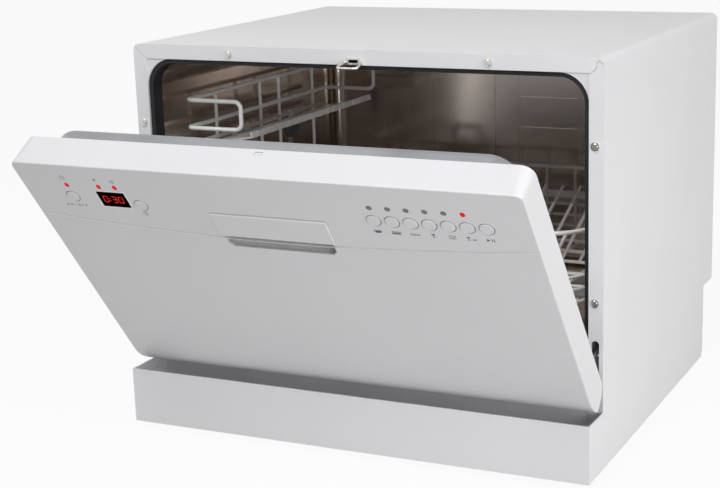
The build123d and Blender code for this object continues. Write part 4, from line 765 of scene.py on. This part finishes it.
def programme_signs():
    """The seven programme signs, each standing on (0, 0). A bar is its two ends and its width."""
    pan = [
        [(-2.6, 0.4), (2.6, 0.4), (2.6, 2.8), (-2.6, 2.8)],
        bar(-4.0, 2.4, -2.6, 2.4, 0.5), bar(2.6, 2.4, 4.0, 2.4, 0.5), bar(-2.9, 3.5, 2.9, 3.5, 0.5),
    ]
    plates = [
        [(-3.6, 0.2), (3.6, 0.2), (3.9, 1.6), (-3.9, 1.6)],
        bar(-3.9, 2.3, 3.9, 2.3, 0.5), bar(-3.9, 3.3, 3.9, 3.3, 0.5),
    ]
    wave = rings_round([(x, 1.4) for x in (-3.0, -1.0, 1.0, 3.0)], 1.0, 0, 180, 0.45, 7)
    wave.append(bar(-4.2, 0.9, 4.2, 0.9, 0.4))
    glass = [
        [(-1.8, 4.0), (1.8, 4.0), (0.4, 1.9), (-0.4, 1.9)],
        bar(0, 2.0, 0, 0.4, 0.45), bar(-1.5, 0.3, 1.5, 0.3, 0.5),
    ]
    bowl = arc_strokes(0, 3.6, 2.4, 180, 360, 0.5, 10)
    bowl += [bar(-3.0, 3.6, 3.0, 3.6, 0.45), bar(-3.0, 0.2, 3.0, 0.2, 0.5)]
    glass_and_dish = [
        [(-4.0, 4.0), (-0.8, 4.0), (-2.1, 2.0), (-2.7, 2.0)],
        bar(-2.4, 2.1, -2.4, 0.4, 0.45), bar(-3.8, 0.3, -1.0, 0.3, 0.5),
        [(0.6, 1.5), (4.0, 1.5), (3.4, 0.3), (1.2, 0.3)],
    ]
    start_or_pause = [
        [(-3.2, 0.2), (-0.4, 1.9), (-3.2, 3.6)],
        bar(1.0, 0.3, 1.0, 3.5, 0.7), bar(2.9, 0.3, 2.9, 3.5, 0.7),
    ]
    return pan, plates, wave, glass, bowl, glass_and_dish, start_or_pause


def oval(solid, x, up, wide, tall, out):
    """An oval ring of corners on the door, by its half width and half height."""
    return [
        solid.verts.new(door_point(x + wide * math.cos(t), up + tall * math.sin(t), out))
        for t in turns(LENS_SIDES)
    ]


class DISHWASHER_OT_controls(PieceOperator, bpy.types.Operator):
    """Make the control panel's lamps, display figures, printed marks and the painted shade round its
    buttons
    """

    bl_idname = "dishwasher.controls"
    bl_label = "Control panel"

    def lenses(self, name, spots, wide, tall, finish):
        """Lamp lenses: low oval domes on stems through the door's skin."""
        solid = bmesh.new()
        for x, up in spots:
            loops = [oval(solid, x, up, STEM_RADIUS, STEM_RADIUS, -STEM_DEPTH)]
            for ring in range(LENS_RINGS):
                lean = math.pi / 2 * ring / LENS_RINGS
                reach, rise = math.cos(lean), LENS_DOME * math.sin(lean) + LENS_FOOT
                loops.append(oval(solid, x, up, wide * reach, tall * reach, rise))
            solid.faces.new(list(reversed(loops[0])))
            for before, after in zip(loops, loops[1:]):
                join_rings(solid, before, after)
            tip = solid.verts.new(door_point(x, up, LENS_DOME + LENS_FOOT))
            top = loops[-1]
            for k in range(LENS_SIDES):
                solid.faces.new((top[k], top[(k + 1) % LENS_SIDES], tip))
        bmesh.ops.recalc_face_normals(solid, faces=solid.faces)
        lens = place(from_bmesh(name, solid), finish, "door", "lamp_red")
        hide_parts("indicator_lamps")

    def display(self):
        """The display's white border and its lit figures."""
        x, up = DISPLAY
        wide, tall = DISPLAY_HALF
        reach = DISPLAY_EDGE / 2 + DISPLAY_GAP
        across, along = wide + DISPLAY_EDGE, tall + DISPLAY_GAP
        right, top = wide + reach, tall + reach
        border = [bar(-across, side * top, across, side * top, DISPLAY_EDGE) for side in (-1, 1)]
        border += [bar(side * right, -along, side * right, along, DISPLAY_EDGE) for side in (-1, 1)]
        prints("display_frame_marks", placed(DISPLAY, border), "white_ink", "white_enamel")
        figures = []
        for left, lit in FIGURES_AT:
            figures += figure(x + left, up - FIGURE_FOOT, lit)
        for low, high in ((-COLON_FAR, -COLON_NEAR), (COLON_NEAR, COLON_FAR)):
            figures.append(bar(x - COLON_LEFT, up + low, x - COLON_LEFT, up + high, COLON_WIDTH))
        prints("display_figures", figures, "lit_figure", "lamp_red", -FIGURE_SUNK)

    def execute(self, context):
        dress("window", "display_window")
        dress("shaded_door_enamel", *BUTTONS)
        self.lenses("lit_lamp_lenses", LIT_LAMPS, *LIT_LENS, "lit_lens")
        self.lenses("dark_lamp_lenses", DARK_LAMPS, *DARK_LENS, "dark_lens")
        rims = rings_round(DARK_LAMPS, RIM_RADIUS, 0, 360, RIM_WIDTH, 18)
        prints("dark_lamp_rims", rims, "lens_rim", "lamp_red", RIM_LIFT)
        # Painted shade round each button's gap, in grey, on all but its lower right
        gap_shade_arcs = rings_round(BUTTONS_AT, GAP_SHADE_RADIUS, SHADOW_TO, 360 + SHADOW_FROM, GAP_SHADE_WIDTH, 24)
        prints("button_gap_shade_rings", gap_shade_arcs, "outline", "white_enamel")
        # Painted shadow: dark arcs in the print colour on the lower right of each button
        shadows = rings_round(BUTTONS_AT, SHADOW_RADIUS, SHADOW_FROM, SHADOW_TO, SHADOW_WIDTH, 14)
        prints("button_shadow_edges", shadows, "ink", "white_enamel")
        self.display()
        ink = upper_signs()
        for spot, sign in zip(MARKS_AT, programme_signs()):
            ink += placed(spot, sign, MARK_SCALE)
        prints("printed_marks", ink, "ink", "white_enamel")
        prints("power_lettering", lettering("ON/OFF", *LETTERING_AT), "ink", "white_enamel")
        return {"FINISHED"}


# The rack, in millimetres: x to the right, depth behind the flange, height above the cabinet's edge
RACK_FRONT, RACK_BACK = 36.0, 390.0
RACK_HALF = 236.0
RACK_CORNER = 45.0
CORNER_STEPS = 8
RIM_Z = 240.0
FLOOR_Z, FLOOR_TOP = 164.3, 166.3
FLOOR_WIRE_SHARE = 1.05  # of the fine wire's radius
LONG_WIRES = [49.0 * i for i in range(-4, 5)]
LONG_WIRE_Z = FLOOR_Z - 0.7
CROSS_WIRES = (57.0, 107.0, 157.0, 208.0, 257.0, 305.0, 347.0)
CROSS_WIRE_Z = FLOOR_Z + 1.2
TINE_X = [-62.0 + 22.0 * i for i in range(12)]
TINE_ROWS = (57.0, 208.0, 305.0)
TINE_FOOT = FLOOR_Z + 1.0
TINE_TOP = 235.0
TINE_TIP = TINE_TOP - 0.6
TINE_LEAN = math.radians(27)
GRILLE_X = [38.0 * i for i in range(-5, 6)]
GRILLE_DEPTHS = [(RACK_FRONT + RACK_BACK) / 2 + 43.0 * i for i in range(-3, 4)]
GRILLE_INSET = 1.2
GRILLE_FOOT = FLOOR_Z - 1
HOOPS_Z = (178.0, 192.0)
HOOP_INSET = -0.4
BAND_LOW, BAND_HIGH, BAND_THICK = 200.0, 209.0, 3.0
BAND_EDGE = 0.5
BAND_ROUNDING = 0.16  # of the band's height
AXLE_Z = 152.3
AXLE_DEPTHS = (118.0, 340.0)
AXLE_RINGS = ((0, 3.0), (11.8, 3.0), (11.8, 4.5), (12.4, 4.5), (12.8, 4.0))  # (along, radius)
BLOCK_SIZE = (4, 18, 20)
BLOCK_ABOVE_AXLE = 4
BLOCK_EDGE = 1.2
SHELF_EDGE, ROLLER_EDGE = 0.5 * MM, 1.2 * MM  # in metres


def rack_loop(z, inset=0.0):
    """The rack's rounded outline at a height, as a closed run."""
    half, near, far = RACK_HALF - inset, RACK_FRONT + inset, RACK_BACK - inset
    spots = ((half, near), (half, far), (-half, far), (-half, near))
    corners = [cabinet_point(x, depth, z) for x, depth in spots]
    return bent_run(corners, (RACK_CORNER - inset) * MM, CORNER_STEPS, closed=True), True


def open_run(*points):
    """An open run through points of (x, depth, height)."""
    return [cabinet_point(*point) for point in points], False


def half_width_at(depth):
    """How far the rack's outline is from its middle at a depth."""
    into = max(RACK_FRONT + RACK_CORNER - depth, depth - RACK_BACK + RACK_CORNER, 0)
    return RACK_HALF - RACK_CORNER + math.sqrt(RACK_CORNER**2 - into**2)


def flat_band(solid, depth):
    """The rack's flat strip at a depth, along x, with rounded long edges."""
    straight = RACK_HALF - RACK_CORNER
    rounding = (BAND_HIGH - BAND_LOW) * BAND_ROUNDING
    reach = BAND_THICK / 2 - BAND_EDGE
    high, low = BAND_HIGH - rounding, BAND_LOW + rounding
    profile = []
    for behind, z, start in ((reach, high, 0), (-reach, high, 90), (-reach, low, 180), (reach, low, 270)):
        for a in (math.radians(start + 30 * step) for step in range(4)):
            profile.append((depth + behind + BAND_EDGE * math.cos(a), z + rounding * math.sin(a)))
    near = [solid.verts.new(cabinet_point(-straight, d, z)) for d, z in profile]
    far = [solid.verts.new(cabinet_point(straight, d, z)) for d, z in profile]
    join_rings(solid, near, far)
    solid.faces.new(list(reversed(near)))
    solid.faces.new(far)


def turned(solid, start, way, rings, sides=24):
    """A turned shape: rings of (distance along the axis, radius), ends closed."""
    way = way.normalized()
    across = way.orthogonal().normalized()
    other = way.cross(across)
    loops = [circle_at(solid, start + way * along, across, other, radius, sides) for along, radius in rings]
    solid.faces.new(list(reversed(loops[0])))
    for before, after in zip(loops, loops[1:]):
        join_rings(solid, before, after)
    solid.faces.new(loops[-1])


def in_order(solid):
    """Puts corners and faces in one order, since a bevel leaves them in another each run."""
    for i, vert in enumerate(sorted(solid.verts, key=lambda vert: tuple(vert.co))):
        vert.index = i
    solid.verts.sort()
    faces = sorted(solid.faces, key=lambda face: sorted(vert.index for vert in face.verts))
    for i, face in enumerate(faces):
        face.index = i
    solid.faces.sort()


class DISHWASHER_OT_rack(PieceOperator, bpy.types.Operator):
    """Make the rack's round coated wires and finish its rim, rollers and shelf"""

    bl_idname = "dishwasher.rack"
    bl_label = "Rack"

    def floor(self, fine):
        """The floor's outline, its wires from front to back and those across them."""
        runs = [rack_loop(FLOOR_Z)]
        for x in LONG_WIRES:
            runs.append(open_run((x, RACK_FRONT, LONG_WIRE_Z), (x, RACK_BACK, LONG_WIRE_Z)))
        for depth in CROSS_WIRES:
            reach = half_width_at(depth)
            runs.append(open_run((-reach, depth, CROSS_WIRE_Z), (reach, depth, CROSS_WIRE_Z)))
        floor = wires("rack_floor_wires", runs, fine * FLOOR_WIRE_SHARE, "nylon", "rack", "coated_wire")
        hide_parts("rack_floor")

    def carriers(self):
        """The blocks under the floor with the axles that the rollers turn on."""
        solid = bmesh.new()
        rings = [(along * MM, radius * MM) for along, radius in AXLE_RINGS]
        for wall, way in ((-RACK_HALF, Vector((-1, 0, 0))), (RACK_HALF, Vector((1, 0, 0)))):
            for depth in AXLE_DEPTHS:
                middle = cabinet_point(wall, depth, AXLE_Z + BLOCK_ABOVE_AXLE)
                block = bmesh.ops.create_cube(solid, size=1)["verts"]
                bmesh.ops.scale(solid, vec=Vector(BLOCK_SIZE) * MM, verts=block)
                bmesh.ops.translate(solid, vec=middle, verts=block)
                edges = list(dict.fromkeys(edge for vert in block for edge in vert.link_edges))
                bmesh.ops.bevel(
                    solid, geom=edges, offset=BLOCK_EDGE * MM, segments=3, profile=0.5, affect="EDGES"
                )
                turned(solid, cabinet_point(wall, depth, AXLE_Z), way, rings)
        in_order(solid)
        bmesh.ops.recalc_face_normals(solid, faces=solid.faces)
        carrier = place(from_bmesh("roller_carriers", solid), "moulding", "rack", "white_plastic")
        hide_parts("rack_floor")

    def grilles(self, fine):
        """The upright wires round the rack, its two hoops and the flat band at front and back."""
        runs = []
        for x in GRILLE_X:
            for depth in (RACK_FRONT + GRILLE_INSET, RACK_BACK - GRILLE_INSET):
                runs.append(open_run((x, depth, GRILLE_FOOT), (x, depth, RIM_Z)))
        for side in (-1, 1):
            wall = side * (RACK_HALF - GRILLE_INSET)
            for depth in GRILLE_DEPTHS:
                runs.append(open_run((wall, depth, GRILLE_FOOT), (wall, depth, RIM_Z)))
        for z in HOOPS_Z:
            runs.append(rack_loop(z, HOOP_INSET))
        grille = wires("rack_grille_wires", runs, fine, "nylon", "rack", "coated_wire")
        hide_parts("rack_side_grilles")

        strip = bmesh.new()
        for depth in (RACK_FRONT, RACK_BACK):
            flat_band(strip, depth)
        bmesh.ops.recalc_face_normals(strip, faces=strip.faces)
        band = place(from_bmesh("rack_front_band", strip), "nylon", "rack", "coated_wire")
        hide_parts("rack_side_grilles")

    def tines(self, fine):
        """Rows of tines that stand up from the floor and lean to the right."""
        lean = (TINE_TOP - FLOOR_TOP) * math.tan(TINE_LEAN)
        runs = []
        for depth in TINE_ROWS:
            for x in TINE_X:
                knee, tip = (x, depth, FLOOR_TOP), (x + lean, depth, TINE_TIP)
                runs.append(open_run((x, depth, TINE_FOOT), knee, tip))
        tine = wires("rack_tine_wires", runs, fine, "nylon", "rack", "coated_wire")
        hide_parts("rack_tines")

    def execute(self, context):
        dress("nylon", "rack_rim", "rack_left_frame", "cup_shelf")
        dress("grey", "front_rollers", "rear_rollers")
        dress("moulding", "cutlery_basket")
        soften("cup_shelf", SHELF_EDGE)
        soften("cutlery_basket", SHELF_EDGE)
        soften("front_rollers", ROLLER_EDGE)
        soften("rear_rollers", ROLLER_EDGE)
        fine = sizes().fine_wire
        self.floor(fine)
        self.carriers()
        self.grilles(fine)
        self.tines(fine)
        return {"FINISHED"}


# Name, place, aim, diameter and power of each soft studio lamp, in metres and watts
LAMPS = (
    ("right_low_soft", (1.6, -1.3, 0.3), (0, 0, 0.2), 1.0, 11.7),
    ("right_soft", (2.6, -0.4, 1.1), (0, 0, 0.25), 1.8, 25.7),
    ("top_front_soft", (-0.2, -1.5, 2.2), (0, 0, 0.25), 1.6, 40.5),
)
FILL = 0.075
PAPER_HALF = 6
PAPER_DROP = 0.0005
PAPER_COLOUR = (0.62, 0.62, 0.62, 1)
PAPER_SHOWN = 0.06  # the share of the lit paper that the camera sees; the rest is plain white
WHITE = (1, 1, 1, 1)
# The camera fitted to the photograph: turns about z, x and y, and its place from the flange's middle
CAMERA_TURN = (0.4276, -0.2440, 0.0244)
CAMERA_PLACE = (0.73786, -1.46185, 0.61969)
CAMERA_SENSOR, CAMERA_LENS = 36.0, 77.92
CAMERA_SHIFT = (-0.0833, 0.0095)


class DISHWASHER_OT_stage(PieceOperator, bpy.types.Operator):
    """Set the floor, the studio light and the camera"""

    bl_idname = "dishwasher.stage"
    bl_label = "Floor, light and camera"

    def execute(self, context):
        scene = context.scene
        self.floor(scene)
        self.world(scene)
        for lamp in LAMPS:
            self.lamp(scene, *lamp)
        self.camera(scene)
        scene.view_settings.view_transform = "Standard"
        return {"FINISHED"}

    def white_to_the_eye(self, tree, lit, plain, output, share):
        """Shows a plain white surface to the camera, and to what mirrors it, over a lit one."""
        seen = tree.nodes.new("ShaderNodeLightPath")
        mirrored = tree.nodes.new("ShaderNodeMath")
        mirrored.operation = "MAXIMUM"
        tree.links.new(seen.outputs["Is Glossy Ray"], mirrored.inputs[0])
        tree.links.new(seen.outputs["Is Transmission Ray"], mirrored.inputs[1])
        amount = tree.nodes.new("ShaderNodeMath")
        amount.operation = "MULTIPLY_ADD"
        amount.use_clamp = True
        amount.inputs[1].default_value = share
        tree.links.new(seen.outputs["Is Camera Ray"], amount.inputs[0])
        tree.links.new(mirrored.outputs["Value"], amount.inputs[2])
        mixer = tree.nodes.new("ShaderNodeMixShader")
        tree.links.new(amount.outputs["Value"], mixer.inputs["Fac"])
        tree.links.new(lit, mixer.inputs[1])
        tree.links.new(plain, mixer.inputs[2])
        tree.links.new(mixer.outputs["Shader"], output)

    def floor(self, scene):
        """A white paper floor, just under the feet."""
        sheet = bmesh.new()
        bmesh.ops.create_grid(sheet, x_segments=4, y_segments=4, size=PAPER_HALF)
        for vert in sheet.verts:
            vert.co.z = -PAPER_DROP
        floor = from_bmesh("studio_floor", sheet, smooth=False)
        finish, tree, shader = new_finish("studio_floor_paper", 0.9)
        shader.inputs["Base Color"].default_value = PAPER_COLOUR
        plain = tree.nodes.new("ShaderNodeEmission")
        self.white_to_the_eye(
            tree, shader.outputs["BSDF"], plain.outputs["Emission"],
            tree.nodes["Material Output"].inputs["Surface"], 1 - PAPER_SHOWN,
        )
        floor.data.materials.append(finish)
        scene.collection.objects.link(floor)

    def world(self, scene):
        """A dim even fill, which the camera sees as white."""
        world = bpy.data.worlds.new("studio")
        world.use_nodes = True
        tree = world.node_tree
        fill = tree.nodes["Background"]
        fill.inputs["Color"].default_value = WHITE
        fill.inputs["Strength"].default_value = FILL
        white = tree.nodes.new("ShaderNodeBackground")
        white.inputs["Color"].default_value = WHITE
        self.white_to_the_eye(
            tree, fill.outputs["Background"], white.outputs["Background"],
            tree.nodes["World Output"].inputs["Surface"], 1.0,
        )
        scene.world = world

    def lamp(self, scene, name, at, to, size, power):
        """A round soft lamp that faces its aim."""
        data = bpy.data.lights.new(name, "AREA")
        data.shape = "DISK"
        data.size = size
        data.energy = power
        lamp = bpy.data.objects.new(name, data)
        lamp.location = at
        lamp.rotation_mode = "QUATERNION"
        lamp.rotation_quaternion = (Vector(to) - Vector(at)).to_track_quat("-Z", "Y")
        scene.collection.objects.link(lamp)

    def camera(self, scene):
        """The photograph's camera."""
        yaw, pitch, roll = CAMERA_TURN
        turn = Matrix.Rotation(yaw, 3, "Z") @ Matrix.Rotation(pitch, 3, "X") @ Matrix.Rotation(roll, 3, "Y")
        data = bpy.data.cameras.new("photo_camera")
        data.sensor_width = CAMERA_SENSOR
        data.lens = CAMERA_LENS
        data.shift_x, data.shift_y = CAMERA_SHIFT
        camera = bpy.data.objects.new("photo_camera", data)
        right, ahead, up = (turn @ Vector(axis) for axis in ((1, 0, 0), (0, 1, 0), (0, 0, 1)))
        axes = Matrix((right, up, -ahead)).transposed()
        x, depth, z = CAMERA_PLACE
        camera.matrix_world = Matrix.Translation((x, FLANGE_Y + depth, CABINET_LOW + z)) @ axes.to_4x4()
        scene.collection.objects.link(camera)
        scene.camera = camera


OPERATORS = (
    DISHWASHER_OT_cabinet,
    DISHWASHER_OT_tub,
    DISHWASHER_OT_door,
    DISHWASHER_OT_fixings,
    DISHWASHER_OT_controls,
    DISHWASHER_OT_rack,
    DISHWASHER_OT_stage,
)


class DISHWASHER_PT_panel(bpy.types.Panel):
    """Lists the dishwasher's pieces, sizes and colours"""

    bl_label = "Dishwasher"
    bl_idname = "DISHWASHER_PT_panel"
    bl_space_type = "VIEW_3D"
    bl_region_type = "UI"
    bl_category = "Dishwasher"

    def draw(self, context):
        for group in (context.scene.dishwasher_sizes, context.scene.dishwasher_colours):
            for name in group.bl_rna.properties.keys():
                if name not in ("rna_type", "name"):
                    self.layout.prop(group, name)
        for operator in OPERATORS:
            self.layout.operator(operator.bl_idname)


CLASSES = (DishwasherSizes, DishwasherColours, *OPERATORS, DISHWASHER_PT_panel)


def register():
    for cls in CLASSES:
        bpy.utils.register_class(cls)
    bpy.types.Scene.dishwasher_sizes = PointerProperty(type=DishwasherSizes)
    bpy.types.Scene.dishwasher_colours = PointerProperty(type=DishwasherColours)


def unregister():
    del bpy.types.Scene.dishwasher_colours
    del bpy.types.Scene.dishwasher_sizes
    for cls in reversed(CLASSES):
        bpy.utils.unregister_class(cls)


def main():
    """Builds every piece."""
    register()
    bpy.ops.dishwasher.cabinet()
    bpy.ops.dishwasher.tub()
    bpy.ops.dishwasher.door()
    bpy.ops.dishwasher.fixings()
    bpy.ops.dishwasher.controls()
    bpy.ops.dishwasher.rack()
    bpy.ops.dishwasher.stage()


if __name__ == "__main__":
    main()
